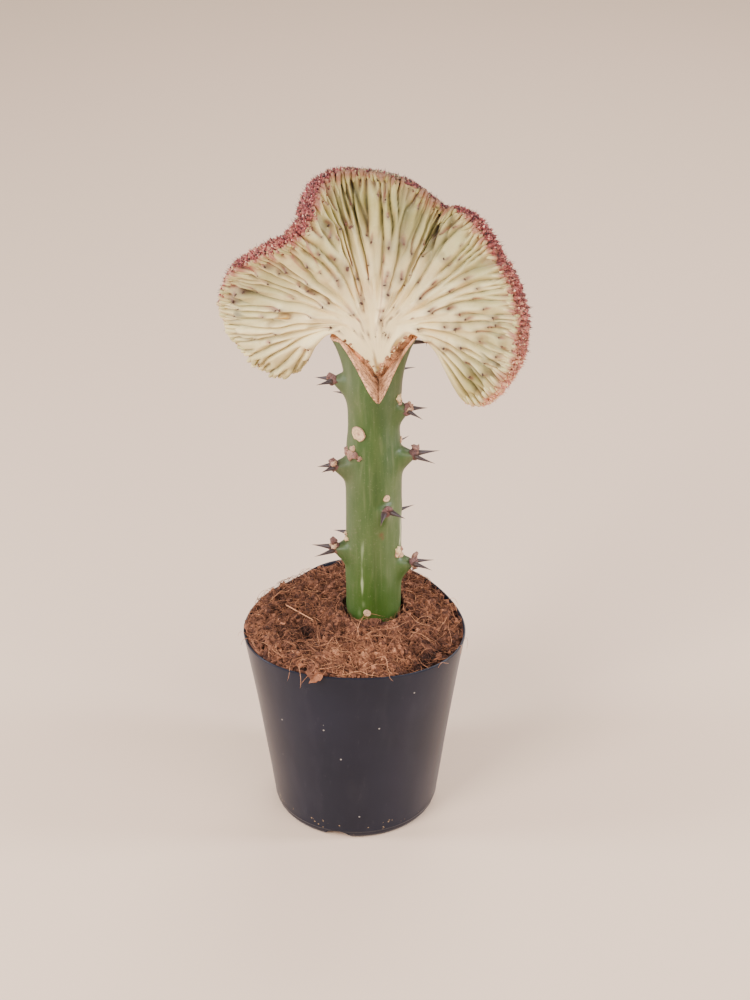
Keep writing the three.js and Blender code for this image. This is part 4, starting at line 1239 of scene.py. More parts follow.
def fanHalf(u, v, side):
    # half thickness and the ridges' relief: each ridge, sin(pi * share) ^ 0.62, splits in two, then again, on
    # the way out, and its new groove opens where it splits. All levels are 0 at a ridge's borders, so
    # neighbours meet.
    phase = ridgePhase(u, v, side)
    fromSide = np.minimum(u, 1 - u) * marginLength * np.clip(0.12 + v, 0.12, 1)
    roundSide = np.sqrt(np.clip(1 - (1 - np.clip(fromSide / 6, 0, 1)) ** 2, 0, 1))
    rounding = 1 - ease(-0.05, 0.15, v) * (0.75 - 0.75 * roundSide)
    thick = fan["tipThick"] + (fan["marginThick"] - fan["tipThick"]) * ease(0.1, 0.9, v)
    left = np.ones(u.shape)
    relief = np.zeros(u.shape)
    for level, count in enumerate(fan["ridges"]):
        number = np.floor(phase * count).astype(int)
        fork, own = forkAt(level, number, side)
        share = np.clip(phase * count - number, 0, 1)
        ridge = np.sin(np.pi * share ** ridgeSkew(u)) ** 0.62 * (0.66 + 0.62 * own)
        width = fan["forks"][min(level, 2)][2]
        opening = ease(fork - width, fork + width, v) if level < 3 else 0.0
        relief = relief + ridge * left * (1 - opening)
        left = left * opening
    ridge, margin = fan["ridgeHeight"], fan["marginHeight"]
    height = 0.05 + ease(0.05, 0.30, v) * (ridge - 0.05 - (ridge - margin) * ease(0.5, 0.95, v))
    pleat = hill(u - stationU(12.6), 0.075) * ease(0.4, 0.7, v)
    pleat = pleat + 1.3 * hill(u - stationU(24.8), 0.05) * ease(0.45, 0.7, v)
    height = height * (1 + 0.35 * pleat) * np.clip(fromSide / 9, 0, 1) * ease(-1.0, -0.7, v)
    folds = np.sin(2 * np.pi * (3.2 * u + 0.30 * side)) * 1.15 + 0.65 * np.sin(2 * np.pi * 5.4 * u + side)
    folds = folds * hill(v - 0.02, 0.22) * ease(-0.9, -0.3, v) * np.clip(fromSide / 7, 0, 1)
    closing = np.sqrt(np.clip(1 - np.clip((v - 0.925) / 0.05, 0, 1) ** 2, 0.0009, 1))
    return (thick * rounding + height * (relief - 0.62) + folds) * closing, relief, phase


marked = [  # the front's own scars: u, v, size and tail length
    (0.354, 0.69, 1.5, 2), (0.375, 0.7, 1.1, 2), (0.388, 0.55, 1.2, 5), (0.416, 0.6, 0.9, 4),
    (0.405, 0.66, 0.9, 3), (0.416, 0.73, 1.4, 3), (0.437, 0.64, 1.2, 4), (0.467, 0.63, 1.8, 2),
    (0.475, 0.6, 1.8, 2), (0.306, 0.86, 1, 4), (0.306, 0.73, 0.9, 3), (0.268, 0.69, 0.9, 5),
    (0.243, 0.71, 1.1, 3), (0.303, 0.53, 0.8, 3), (0.303, 0.46, 1.3, 3), (0.302, 0.4, 0.8, 5),
    (0.251, 0.46, 0.6, 5), (0.206, 0.52, 1, 4), (0.188, 0.59, 0.8, 3), (0.201, 0.28, 0.8, 4),
    (0.114, 0.55, 0.8, 4), (0.083, 0.78, 1.1, 2), (0.227, 0.84, 1.3, 2), (0.21, 0.84, 1.3, 2),
    (0.233, 0.8, 1.3, 2), (0.302, 0.27, 1.2, 5), (0.37, 0.37, 1.1, 3), (0.4, 0.42, 2.1, 2),
    (0.447, 0.28, 1.6, 3), (0.36, 0.56, 0.6, 2), (0.524, 0.51, 1.2, 6), (0.558, 0.5, 1.5, 4),
    (0.582, 0.55, 1.1, 5), (0.6, 0.52, 0.8, 4), (0.62, 0.62, 1, 3), (0.545, 0.78, 0.9, 3),
    (0.552, 0.69, 0.8, 3), (0.537, 0.82, 1.3, 3), (0.51, 0.36, 0.9, 6), (0.438, 0.17, 0.6, 3),
    (0.428, 0.11, 0.6, 3), (0.426, 0.07, 0.6, 2), (0.345, 0.09, 0.9, 5), (0.345, 0.01, 0.7, 4),
    (0.063, 0, 0.8, 3), (0.56, 0.26, 1.4, 6), (0.55, 0.39, 0.8, 6), (0.593, 0.33, 1.4, 5),
    (0.563, 0.32, 0.9, 3), (0.695, 0.34, 1, 5), (0.702, 0.09, 0.8, 2), (0.595, 0.02, 1.5, 3),
    (0.694, 0.03, 0.8, 2), (0.709, 0.6, 1.1, 5), (0.721, 0.59, 0.8, 3), (0.757, 0.65, 1.2, 6),
    (0.78, 0.69, 0.9, 5), (0.796, 0.62, 0.8, 6), (0.764, 0.49, 1.2, 4), (0.804, 0.41, 1.3, 5),
    (0.788, 0.28, 1.4, 5), (0.726, 0.41, 0.9, 4), (0.822, 0.46, 0.6, 2), (0.836, 0.52, 1.1, 5),
    (0.815, 0.69, 1, 5), (0.831, 0.75, 1.3, 4), (0.842, 0.77, 1.2, 4), (0.847, 0.7, 1.1, 4),
    (0.857, 0.35, 1.1, 4), (0.858, 0.44, 1.6, 4), (0.882, 0.64, 1, 5), (0.862, 0.79, 0.9, 4),
    (0.934, 0.61, 0.9, 4), (0.893, 0.81, 0.9, 4), (0.948, 0.71, 1.2, 3), (0.927, 0.79, 1.3, 3),
    (0.71, 0.76, 0.7, 3), (0.685, 0.82, 0.9, 3), (0.875, 0.83, 1.1, 3), (0.62, 0.63, 0.8, 3),
    (0.589, 0.82, 0.9, 3)]


# for each level of ridges: how likely its scars are on the front and further out, how long and how wide
scarring = [(0.8, 0.8, 1.1, 1.35), (0.7, 0.7, 1.0, 1.2), (0.4, 0.3, 0.7, 0.95)]


def tubercles(side):
    # phase, v, size and tail length in millimetres of one side's spine-bearing scars: one where each new
    # groove opens, and some further out along the grooves
    random = np.random.default_rng(70 if side > 0 else 71)
    found = []
    for level, count in enumerate(fan["ridges"][:3]):
        likely, further, long, wide = scarring[level]
        for number in range(count):
            fork = float(forkAt(level, np.array(number), side)[0])
            centre = (number + 0.5 ** (1 / ridgeSkew((number + 0.5) / count))) / count
            inside = 0.02 < centre < 0.985
            big = wide * (0.75 + 0.5 * random.random())
            if random.random() < (0.93 if side < 0 else likely) and inside:
                at = fork - 0.4 * fan["forks"][level][2]
                found.append((centre, at, big, (4 + 9 * random.random()) * long))
            out = fork + 0.10 + 0.10 * random.random()
            border = fork + 0.02 + 0.22 * random.random()
            between = border < 0.90 and 0.03 < number / count < 0.98
            if side < 0 and level > 0 and random.random() < 0.6 and between:
                found.append((number / count, border, big * 0.85, 2 + 4 * random.random()))
            if side < 0 and random.random() < further and out < 0.90 and inside:
                found.append((centre, out, big * 0.8, 3 + 5 * random.random()))
    for _ in range(22):
        place = 0.2 + 0.6 * random.random(), -0.35 + 0.5 * random.random()
        found.append((*place, 0.5 + 0.4 * random.random(), 1.5))
    for u, v, size, tail in marked if side > 0 else []:
        found.append((float(ridgePhase(np.array(u), np.array(v), side)), v, size, tail))
    return np.array(found).T


def phaseToU(phase, v, side):  # undoes the ridges' wandering
    u = phase
    for _ in range(4):
        u = u - (ridgePhase(u, v, side) - phase)
    return u


valleys = [  # the front's own folds: u and v of both ends, width, depth, then how much painted olive shade, how purple (own colour and painted shade) and how pink
    (0.466, 0.6, 0.473, 0.9, 0.9, 0.9, 0.75, 0, 0), (0.505, 0.47, 0.481, 0.9, 1.1, 1.4, 0.85, 0, 0),
    (0.521, 0.5, 0.496, 0.89, 1.2, 1.4, 0.9, 0.1, 0), (0.507, 0.7, 0.502, 0.9, 0.8, 0.8, 0.6, 0, 0),
    (0.538, 0.52, 0.544, 0.74, 1, 0.6, 0.35, 0, 0), (0.562, 0.6, 0.559, 0.85, 0.9, 0.5, 0.3, 0, 0),
    (0.578, 0.5, 0.579, 0.78, 1, 0.7, 0.45, 0, 0), (0.568, 0.7, 0.566, 0.92, 0.8, 0.8, 0.5, 0.1, 0),
    (0.5715, 0.8, 0.5745, 0.93, 0.7, 0.8, 0.45, 0.2, 0), (0.586, 0.45, 0.6, 0.84, 1, 0.7, 0.45, 0, 0),
    (0.612, 0.55, 0.617, 0.86, 1, 0.7, 0.4, 0.1, 0), (0.628, 0.6, 0.633, 0.88, 0.9, 0.6, 0.45, 0.2, 0),
    (0.682, 0.5, 0.636, 0.96, 2.3, 2.2, 0.45, 1, 0), (0.667, 0.55, 0.642, 0.95, 1.3, 1.2, 0.6, 0.4, 0),
    (0.694, 0.56, 0.668, 0.92, 0.9, 0.8, 0.55, 0.3, 0), (0.899, 0.67, 0.906, 0.88, 1, 1, 0.7, 0.3, 0),
    (0.933, 0.6, 0.938, 0.82, 1, 0.9, 0.6, 0.2, 0), (0.951, 0.7, 0.962, 0.85, 1, 0.9, 0.55, 0.2, 0),
    (0.921, 0.74, 0.925, 0.88, 0.8, 0.8, 0.6, 0.1, 0), (0.268, 0.76, 0.275, 0.93, 0.9, 0.8, 0.55, 0.3, 0),
    (0.232, 0.71, 0.236, 0.82, 1.3, 0.9, 0.75, 0.1, 0), (0.217, 0.8, 0.223, 0.89, 0.9, 0.8, 0.4, 0.6, 0),
    (0.21, 0.79, 0.209, 0.89, 0.9, 0.8, 0.4, 0.6, 0), (0.183, 0.71, 0.186, 0.82, 1, 0.7, 0.6, 0.2, 0),
    (0.171, 0.76, 0.166, 0.89, 1, 0.8, 0.5, 0.4, 0), (0.138, 0.13, 0.136, 0.25, 1.4, 0.5, 0.5, 0, 0),
    (0.123, 0.68, 0.134, 0.85, 0.9, 0.8, 0.5, 0, 0.3), (0.306, 0.77, 0.308, 0.87, 0.9, 0.7, 0.4, 0.2, 0.2),
    (0.316, 0.66, 0.321, 0.8, 0.8, 0.6, 0.35, 0.2, 0.2), (0.32, 0.27, 0.303, 0.46, 0.7, 0.5, 0.55, 0.2, 0.4),
    (0.365, 0.62, 0.373, 0.85, 0.6, -0.7, 0, 0, 0.9), (0.34, 0.6, 0.347, 0.84, 0.5, -0.5, 0, 0, 0.7),
    (0.56, 0.1, 0.548, 0.36, 0.5, 0.3, 0, 0, 0.6), (0.566, 0, 0.566, 0.1, 0.6, 0.3, 0.1, 0, 0.6),
    (0.43, 0.05, 0.452, 0.22, 0.6, 0.4, 0.4, 0.1, 0.4), (0.603, 0.06, 0.6, 0.24, 0.9, 0.5, 0.3, 0, 0)]
scabs = [  # the front's own blemishes: u, v, half width, half length, then how yellow and how brown
    (0.184, 0.446, 1.4, 3.2, 1.7, 0), (0.159, 0.539, 1.2, 2.3, 0.1, 0.6), (0.305, 0.457, 0.9, 1.5, 0.2, 0.6),
    (0.5735, 0.079, 1, 1.1, 0.1, 0.75), (0.473, 0.61, 2.2, 1.6, 0.1, 0.8), (0.951, 0.389, 2.4, 1.7, 0, 0.8),
    (0.958, 0.33, 1.6, 1.2, 0, 0.7), (0.975, 0.8, 1.4, 1.6, 0.3, 0.4), (0.962, 0.86, 1.4, 1.4, 0.4, 0.3),
    (0.39, -0.58, 0.6, 1.8, 0.4, 1.1), (0.36, -0.74, 0.8, 2.2, 0.6, 1.2), (0.52, -0.92, 1.8, 1.7, 0.8, 1.1),
    (0.94, -0.27, 1.2, 3.8, 0.9, 0.7)]


def fanMaterial():
    shade = Shade("cream_fan_skin", Subsurface_Weight=0.05, Subsurface_Radius=(0.6, 0.5, 0.25),
                  Subsurface_Scale=0.0015)
    grow, groove, pink, yellow = shade.marks("grow", "groove", "pink", "yellow")
    shadow, spot, tone, hollow = shade.marks("shadow", "spot", "tone", "hollow")
    cloud, fine, mottle = shade.noise(11, 3), shade.noise(1.0, 4, rough=0.6), shade.noise(3.2, 4)
    base = shade.layered(
        paint(255, 232, 178),
        (grow.clamped(0.0, 0.75), 216, 200, 142),
        (tone.clamped(0.5, 1.0) * grow.clamped(0.0, 0.5) * 0.75, 250, 228, 170),
        ((0.5 - tone).clamped(0.0, 0.5) * grow.clamped(0.1, 0.6) * 0.6, 148, 140, 88),
        ((yellow * 0.9 + cloud * 0.5 - 0.3).clamped(0.0, 1.0) * 0.8, 160, 150, 74),
        # painted shade in the hollows between the ridges
        (hollow * 0.74, 112, 106, 62),
        ((cloud - 0.5).clamped(0.0, 0.3) * 0.4, 226, 190, 144),
        ((mottle - 0.5).clamped(0.0, 0.25) * grow * 0.35, 160, 150, 96),
        # the grooves' own olive, deepened with painted shade
        (groove * (0.15 + grow * 0.9) * (0.5 + cloud * 0.8).clamped(0.3, 1.1), 74, 74, 38),
        (pink * (0.65 + fine * 0.6).clamped(0.2, 1.0), 152, 76, 66),
        # painted shade in the folds and grooves, and purple that is partly the folds' own colour and partly
        # painted shade
        (shadow, 62, 56, 24),
        (shade.mark("purple"), 58, 34, 30),
        ((fine - 0.6).clamped(0.0, 0.16) * 0.3, 240, 222, 176),
        (spot * (0.6 + mottle * 0.6).clamped(0.3, 1.1), 92, 54, 42),
        (shade.mark("scab").clamped(0.0, 1.0), 180, 134, 40))
    shade.bump(fine * 0.6 + mottle * 0.4, 0.16, 0.55)
    return shade.finish(Base_Color=base, Roughness=0.48 + fine * 0.2)


def scarsOn(phase, v, perPhase, perV, side):  # how raised, how dark and how lined the sheet is at its scars
    raised, spot, line = np.zeros((3, *v.shape))
    random = np.random.default_rng(77)
    for itemPhase, itemV, size, tail in zip(*tubercles(side)):
        near = np.abs(np.linspace(0, 1, v.shape[1]) - itemPhase) < 0.04
        a = (phase[:, near] - itemPhase) * perPhase[:, near]
        b = (v[:, near] - itemV) * perV[:, near]
        body = hill(a, 1.7 * size) * np.where(b < 0, hill(b, 4.2 * size), hill(b, 0.9 * size))
        raised[:, near] = np.maximum(raised[:, near], 1.25 * size * body)
        spot[:, near] = np.maximum(spot[:, near], 0.95 * hill(np.hypot(a, 0.45 * b), 0.85 * size))
        strength = 0.35 + 0.65 * random.random()
        along = ease(-0.2, 0.8, b) * (1 - ease(0.35 * tail, tail, b)) * strength
        line[:, near] = np.maximum(line[:, near], hill(a, 0.6) * along)
    return raised, spot, line


def valleysOn(u, v, perU):  # how deep the front's folds cut, how much painted olive shade, how much purple (own colour and painted shade) and how pink
    cut, shadow, purple, pink = np.zeros((4, *u.shape))
    for startU, startV, endU, endV, wide, deep, dark, plum, rose in valleys:
        share = np.clip((v - startV) / (endV - startV), 0, 1)
        a = (u - startU - (endU - startU) * share) * perU
        within = ease(startV - 0.03, startV + 0.05, v) * (1 - ease(endV - 0.03, endV + 0.03, v))
        wide = wide * (0.45 + 0.8 * share)  # each fold tapers towards the neck
        cut = cut + deep * hill(a, wide * 0.8) * within
        olive = np.minimum(1, dark * 1.15) * hill(a, wide) * within * (0.55 + 0.45 * share)
        shadow = np.maximum(shadow, olive)
        purple = np.maximum(purple, plum * hill(a, wide * 1.2) * within * ease(0.50, 0.75, v))
        pink = np.maximum(pink, rose * hill(a, wide) * within)
    return cut, shadow, purple, pink


def fanSheet(side):
    # one sheet: middle surface plus or minus half the thickness, raised at each scar and cut by the valleys
    columns, rows = fan["columns"], fan["rows"]
    rowsV = np.concatenate([np.linspace(-1, 0.0, 9)[:-1], np.linspace(0, 0.975, rows - 8)])
    v, u = np.meshgrid(rowsV, np.linspace(0, 1, columns), indexing="ij")
    middle = fanPoint(u, v)
    half, relief, phase = fanHalf(u, v, side)
    stepU = u[0, 1] - u[0, 0]
    perU = lengthOf(np.gradient(middle, axis=1)) / stepU
    perV = lengthOf(np.gradient(middle, axis=0)) / np.maximum(np.gradient(v, axis=0), 1e-6)
    perPhase = perU / np.clip(np.gradient(phase, axis=1) / stepU, 0.35, 3)
    raised, spot, line = scarsOn(phase, v, perPhase, perV, side)
    wander = 0.26 * noise(middle, 7, 80 + side) + 0.12 * noise(middle, 2.6, 82 + side)
    lift = (raised * ease(0.0, 0.15, v) + wander * ease(-1, -0.8, v)) * np.clip(half / 2.0, 0, 1)
    cut, shadow, purple, rose = valleysOn(u, v, perU) if side > 0 else np.zeros((4, *u.shape))
    lift, line = lift - cut, np.maximum(line, rose)
    points = middle + fanNormal(u, v) * (side * np.maximum(half + lift, 0.12 * half))[..., None]
    top, lowRight = hill(u - stationU(13.8), 0.15), hill(u - stationU(25), 0.045)
    lowLeft = 1 - ease(stationU(3.5), stationU(5.5), u)
    # between and grooveLine: how low the sheet lies between the ridges, for the painted shade there
    between = np.clip(1.05 - relief, 0, 1)
    grooveLine = np.clip(1.15 - relief * 1.6, 0, 1) ** 1.2 * ease(-0.2, 0.3, v)
    comb = ease(0.78, 0.93, v) * (0.30 + 1.5 * between ** 1.3)  # rose-brown between the ridge ends
    pink = comb * (0.55 + 0.45 * noise(middle, 16, 84)) * (1 - 0.75 * lowLeft) + 0.9 * line
    pink = pink + 0.65 * ease(0.62, 0.92, v) * hill(u - stationU(7.5), 0.07) * np.clip(1.1 - relief, 0, 1)
    some = ease(0.35, 0.6, hashedRows(phase, 2))
    # painted shade in the grooves at the lower left, the top and the lower right
    for darker in (0.75 * lowLeft * ease(0.66, 0.9, v) * some, 0.9 * top * ease(0.5, 0.9, v),
                   0.95 * lowRight * ease(0.5, 0.8, v)):
        shadow = np.maximum(shadow, darker * grooveLine)
    yellow = ease(0.3, 0.8, v) * (0.30 + 0.70 * top) + 0.75 * lowRight * ease(0.5, 0.85, v)
    scab = np.zeros(u.shape)
    for itemU, itemV, wide, long, ochre, brown in scabs if side > 0 else []:
        body = hill(np.hypot((u - itemU) * perU / wide, (v - itemV) * perV / long), 1.0)
        patch = ease(0.15, 0.95, body + 0.35 * noise(middle, 1.8, 86)) * (0.75 + 0.5 * noise(middle, 0.9, 88))
        scab = np.maximum(scab, ochre * patch)
        spot = np.maximum(spot, brown * patch + 0.9 * ochre * hill(body - 0.45, 0.2))
    tone = 0.5 + 0.30 * (hashedRows(phase, 1) - 0.5) * ease(0.1, 0.3, v)
    tone = tone + 0.7 * (hashedRows(phase, 2) - 0.5) * ease(0.45, 0.7, v)
    broken = np.clip(0.75 + 0.9 * noise(middle, 6, 87), 0.25, 1)
    groove = grooveLine * (0.35 + 0.65 * ease(0.35, 0.75, v)) * broken
    olive = 0.45 + 0.75 * hill(u - stationU(14), 0.17) + 0.6 * lowRight
    marks = {"tone": np.clip(tone, 0, 1), "grow": v, "hollow": between * ease(0.15, 0.5, v) * olive,
             "groove": groove, "pink": np.clip(pink, 0, 1), "yellow": np.clip(yellow, 0, 1), "shadow": shadow,
             "purple": purple, "spot": np.clip(spot * 0.9, 0, 1), "scab": scab}
    return points, marks


def hashedRows(phase, level):  # one random number for each ridge of a level, easing over where ridges meet
    at = phase * fan["ridges"][level]
    number = np.floor(at).astype(int)
    own, following = [hashed(stacked(number + step, level, 0), 9) for step in (0, 1)]
    return own + (following - own) * ease(0.85, 1.0, at - number)


def makeFan(material):
    front, frontMarks = fanSheet(1)
    back, backMarks = fanSheet(-1)
    loop = np.concatenate([front, back[::-1]])  # up the front sheet and down the back one
    marks = {key: np.concatenate([frontMarks[key], backMarks[key][::-1]]) for key in frontMarks}
    faces = shellFaces(*front.shape[:2])
    newPiece("crested_fan", loop.reshape(-1, 3), faces, material, "crest", marks)


def makeTeeth(material):
    # short round ridges side by side along the margin: paths up the surface, thick in the middle, each as
    # long as its own random number says, twice as many as the fan's finest ridges
    parts, marks = [], []
    count, sides = 2 * fan["ridges"][3], 7
    radii = np.array([0.2, 0.45, 0.7, 0.9, 1.0, 1.05, 1.05, 1.0, 0.8])
    s = np.linspace(0, 1, len(radii))
    for side in (1, -1):
        random = np.random.default_rng(95 + side)
        phase = (np.arange(count) + 0.5 + 0.3 * random.random(count)) / count
        start = fan["teethFrom"] - 0.12 * random.random(count) ** 1.5
        finish = 0.955 + 0.025 * random.random(count)
        v = start[:, None] + (finish - start)[:, None] * s
        u = phaseToU(np.broadcast_to(phase[:, None], v.shape), v, side)
        inside = (u[:, -1] > 0.012) & (u[:, -1] < 0.992)
        u, v = u[inside], v[inside]
        half, _, _ = fanHalf(u, np.minimum(v, 0.92), side)
        proud = half + 0.1 + 0.45 * s * s - 0.9 * (1 - s) ** 2
        paths = fanPoint(u, v) + fanNormal(u, v) * (side * proud)[..., None]
        wide = marginLength / count * (0.46 + 0.12 * random.random(len(u)))
        parts.append(tubes(paths, wide[:, None] * radii, sides))
        along = np.tile(tubeMarks(s, sides), len(u))
        middle = perPoint(phaseToU(phase[inside], 0.9, side), parts[-1][0])
        own = perPoint(random.random(len(u)), parts[-1][0])
        pinkness = np.interp(middle, stationU([4, 6, 11, 17.5, 19, 23, 26]), [0, 0.9, 1, 1, 0.9, 0.9, 0.3])
        dark = hill(middle - stationU(14.3), 0.11)  # towards the top of the fan
        pink = pinkness * ease(0.5, 1.0, along + 0.6 * (own - 0.5) + 0.25 * dark)
        # hollow paints shade at the teeth's feet, and shadow paints shade among the teeth near the top
        marks.append({"grow": 0.6 + 0.3 * along, "pink": (1 - 0.3 * dark) * pink, "yellow": 0.3 + 0.6 * dark,
                      "hollow": 0.3 * (1 - along), "tone": own, "shadow": 0.25 * dark * own,
                      "groove": 0.8 * dark * own * ease(0.4, 1, along),
                      "purple": 0.35 * dark * ease(0.5, 1, along) * (own < 0.6),
                      "spot": 0.5 * dark * own * ease(0.3, 0.9, along)})
    points, faces = joined(parts)
    newPiece("fan_teeth", points, faces, material, None, joinedMarks(marks))


def thornMaterial():
    shade = Shade("brown_fan_spines", Roughness=0.6)
    value = shade.mark("tint") + shade.noise(0.6, 3) * 0.3 - 0.15
    base = shade.ramp(value, (0.0, 50, 34, 30), (0.4, 80, 54, 42), (0.75, 116, 72, 58), (1.0, 156, 104, 84))
    return shade.finish(Base_Color=base)


def makeFanSpines():
    # a low dark pad and two fine spines on each scar
    pad = [(0, -0.8), (0.9, -0.8), (1.0, 0.0), (0.62, 0.5), (0, 0.62)]
    thorn = [(0, -0.25), (1.0, -0.2), (0.55, 0.45), (0, 1.0)]
    parts, tints = [], []
    for side in (1, -1):
        random = np.random.default_rng(90 + side)
        phase, v, size, _ = tubercles(side)
        u = phaseToU(phase, v, side)
        count, facing = len(u), fanNormal(u, v) * side
        half, _, _ = fanHalf(u, v, side)
        lift = 1.25 * size * ease(0.0, 0.15, v)
        roots = fanPoint(u, v) + facing * (half + lift - 0.2)[:, None]
        outward = unit(fanPoint(u, v + 0.01) - fanPoint(u, v))
        parts.append(spun(pad, 6, roots, facing + 0.35 * outward, 0.62 * size, 0.5 * size,
                          anyTurns(random, count), 0.6))
        tints.append(perPoint(0.15 + 0.6 * random.random(count), parts[-1][0]))
        across = np.cross(facing, outward)
        for way in (-1, 1):
            spread = across * way * (0.55 + 0.3 * random.random((count, 1)))
            aim = facing + outward * (0.5 + 0.3 * random.random((count, 1))) + spread
            keep = random.random(count) < 0.8
            length = (1.0 + 0.8 * random.random(count)[keep]) * size[keep]
            parts.append(spun(thorn, 4, roots[keep], aim[keep], 0.17 * size[keep], length, 0 * length))
            tints.append(perPoint(0.1 + 0.5 * random.random(keep.sum()), parts[-1][0]))
    points, faces = joined(parts)
    newPiece("fan_spines", points, faces, thornMaterial(), None, {"tint": np.concatenate(tints)})


skin = fanMaterial()
makeFan(skin)
makeTeeth(skin)
makeFanSpines()
makeCallus(corkSkin)


# growing edge: a crowned band along the margin, thick with tiny leaf bases, leaflets and bristles

edge = {
    "height": 3.5, "start": 0.018, "end": 0.994, "overhang": -0.05, "columns": 1100, "around": 15,
    "grains": 3300, "leaflets": 1500, "bristles": 1400, "strays": 1300, "inland": 0.07,
    # station, share of the height, how pink, how thick with leaflets, tone, lilac, pale
    "character": [
        (0, 0.5, 0, 0.1, 0.5, 0, 0), (2, 0.5, 0.05, 0.14, 0.5, 0.2, 0), (4, 0.5, 0.25, 0.25, 0.46, 0.4, 0),
        (5, 0.5, 0.6, 0.45, 0.42, 0.2, 0), (6, 0.55, 0.9, 0.7, 0.46, 0.3, 0),
        (8, 0.6, 1, 0.95, 0.46, 0.3, 0), (9.5, 0.8, 1, 1.2, 0.4, 0.5, 0), (10.7, 0.9, 1, 1.2, 0.42, 0.8, 0),
        (12, 0.6, 0.9, 0.55, 0.32, 0.3, 0), (14, 0.5, 0.8, 0.45, 0.24, 0, 0),
        (16.3, 0.5, 0.85, 0.5, 0.22, 0.1, 0), (17.5, 0.6, 0.9, 0.6, 0.24, 0.2, 0),
        (19, 0.85, 1, 0.95, 0.4, 0.3, 0), (22, 1, 1, 1, 0.42, 0.4, 0.1),
        (23.5, 1.05, 0.9, 0.95, 0.5, 0.4, 0.4), (25, 1, 0.75, 0.9, 0.62, 0.2, 0.9),
        (26, 0.6, 0.5, 0.6, 0.6, 0.1, 0.9)]}
character = np.array(edge["character"], dtype=float)


def characterAt(u, column):  # straight lines between the stations of the table
    return np.interp(u, stationU(character[:, 0]), character[:, column])


def edgeFrame(u):
    # foot on the fan, the directions out and across, half the thickness and the height of the crown
    foot = fanPoint(u, fan["bodyEnd"] - 0.012)
    outward = unit(fanPoint(u, np.ones_like(u)) - foot)
    facing = fanNormal(u, np.full_like(u, fan["bodyEnd"]))
    half, _, phase = fanHalf(u, np.full_like(u, 0.92), 1.0)
    tooth = np.abs(np.sin(np.pi * fan["ridges"][3] * phase))
    ends = 0.3 + 0.7 * ease(0, 0.03, np.minimum(u - edge["start"], edge["end"] - u))
    tall = edge["height"] * ends * characterAt(u, 1) * (0.78 + 0.30 * tooth)
    return foot, outward, facing, half + edge["overhang"], tall, tooth


def crownPoint(u, tilt, proud=0.0):
    # tilt 0 is straight out and +-90 degrees the front and back feet: across = half * sin, out = tall * cos
    foot, outward, facing, half, tall, tooth = edgeFrame(u)
    across = (half * 1.02 + proud) * np.sin(tilt)
    out = 0.8 + (tall + proud) * np.cos(tilt)
    point = foot + outward * out[..., None] + facing * across[..., None]
    direction = unit(outward * (np.cos(tilt) / tall)[..., None] + facing * (np.sin(tilt) / half)[..., None])
    return point, direction, outward, facing, tooth


def edgeMaterial():
    shade = Shade("rose_growing_edge", Roughness=0.72)
    tint, lilac, pale, cream = shade.marks("tint", "lilac", "pale", "cream")
    mottle = shade.noise(0.8, 4, rough=0.65)
    base = shade.ramp(tint + mottle * 0.36 - 0.18, (0.0, 54, 34, 34), (0.22, 100, 40, 42),
                      (0.45, 144, 58, 56), (0.66, 176, 88, 76), (0.84, 220, 144, 120), (1.0, 252, 206, 176))
    base = shade.layered(
        base,
        (lilac * (mottle * 1.6).clamped(0.4, 1.3), 160, 112, 118),
        (pale * 0.75, 240, 176, 136),
        (cream * tint.clamped(0.2, 0.45), 222, 192, 136))
    shade.bump(mottle, 0.2, 0.7)
    return shade.finish(Base_Color=base)


def edgeMarks(u, tint, random):  # what the material reads, each patch turning pink or pale by its own chance
    lilac = np.clip(characterAt(u, 5) * (0.35 + 1.0 * random.random(len(u))), 0, 1) * (tint > 0.4)
    pale = np.clip(characterAt(u, 6) * (0.4 + 0.8 * random.random(len(u))), 0, 1)
    cream = (random.random(len(u)) > characterAt(u, 2)) * 1.0
    return {"tint": tint, "lilac": lilac, "pale": pale, "cream": cream}


def makeBand(material):
    u, tilt = np.meshgrid(np.linspace(edge["start"], edge["end"], edge["columns"]),
                          np.linspace(-1.72, 1.72, edge["around"]), indexing="ij")
    points, direction, _, _, tooth = crownPoint(u, tilt)
    lumps = 0.34 * noise(points, 1.5, 100) + 0.2 * noise(points, 0.8, 101)
    points = points + direction * lumps[..., None]
    loop = points.reshape(-1, 3)
    count, around = edge["columns"], edge["around"]
    middle = np.arange(1, around - 1)
    ends = []
    for row, flip in ((0, False), (count - 1, True)):
        fanned = stacked(0, middle + 1, middle) + row * around
        ends.append(fanned[:, ::-1] if flip else fanned)
    faces = [gridFaces(count, around, wrapColumns=True), np.concatenate(ends)]
    u, tooth = u.ravel(), tooth.ravel()
    tint = characterAt(u, 4) - 0.22 + 0.22 * tooth + 0.16 * noise(loop, 2.2, 102)
    marks = {"tint": tint, "lilac": 0.5 * characterAt(u, 5), "pale": characterAt(u, 6),
             "cream": np.clip(1.15 - characterAt(u, 2) + 0.2 * noise(loop, 3, 103), 0, 1) * (tooth > 0.25)}
    newPiece("edge_band", loop, faces, material, "growing_edge", marks)


def alongEdge(random, count, margin=0.0):  # u of scattered items, denser where the edge is thick with them
    u = edge["start"] + margin + (edge["end"] - edge["start"] - 2 * margin) * np.linspace(0, 1, 4001)
    crowd = np.cumsum(characterAt(u, 3) + 0.25)
    place = (np.arange(count) + random.random(count)) / count
    return np.interp(place * (crowd[-1] - crowd[0]) + crowd[0], crowd, u)


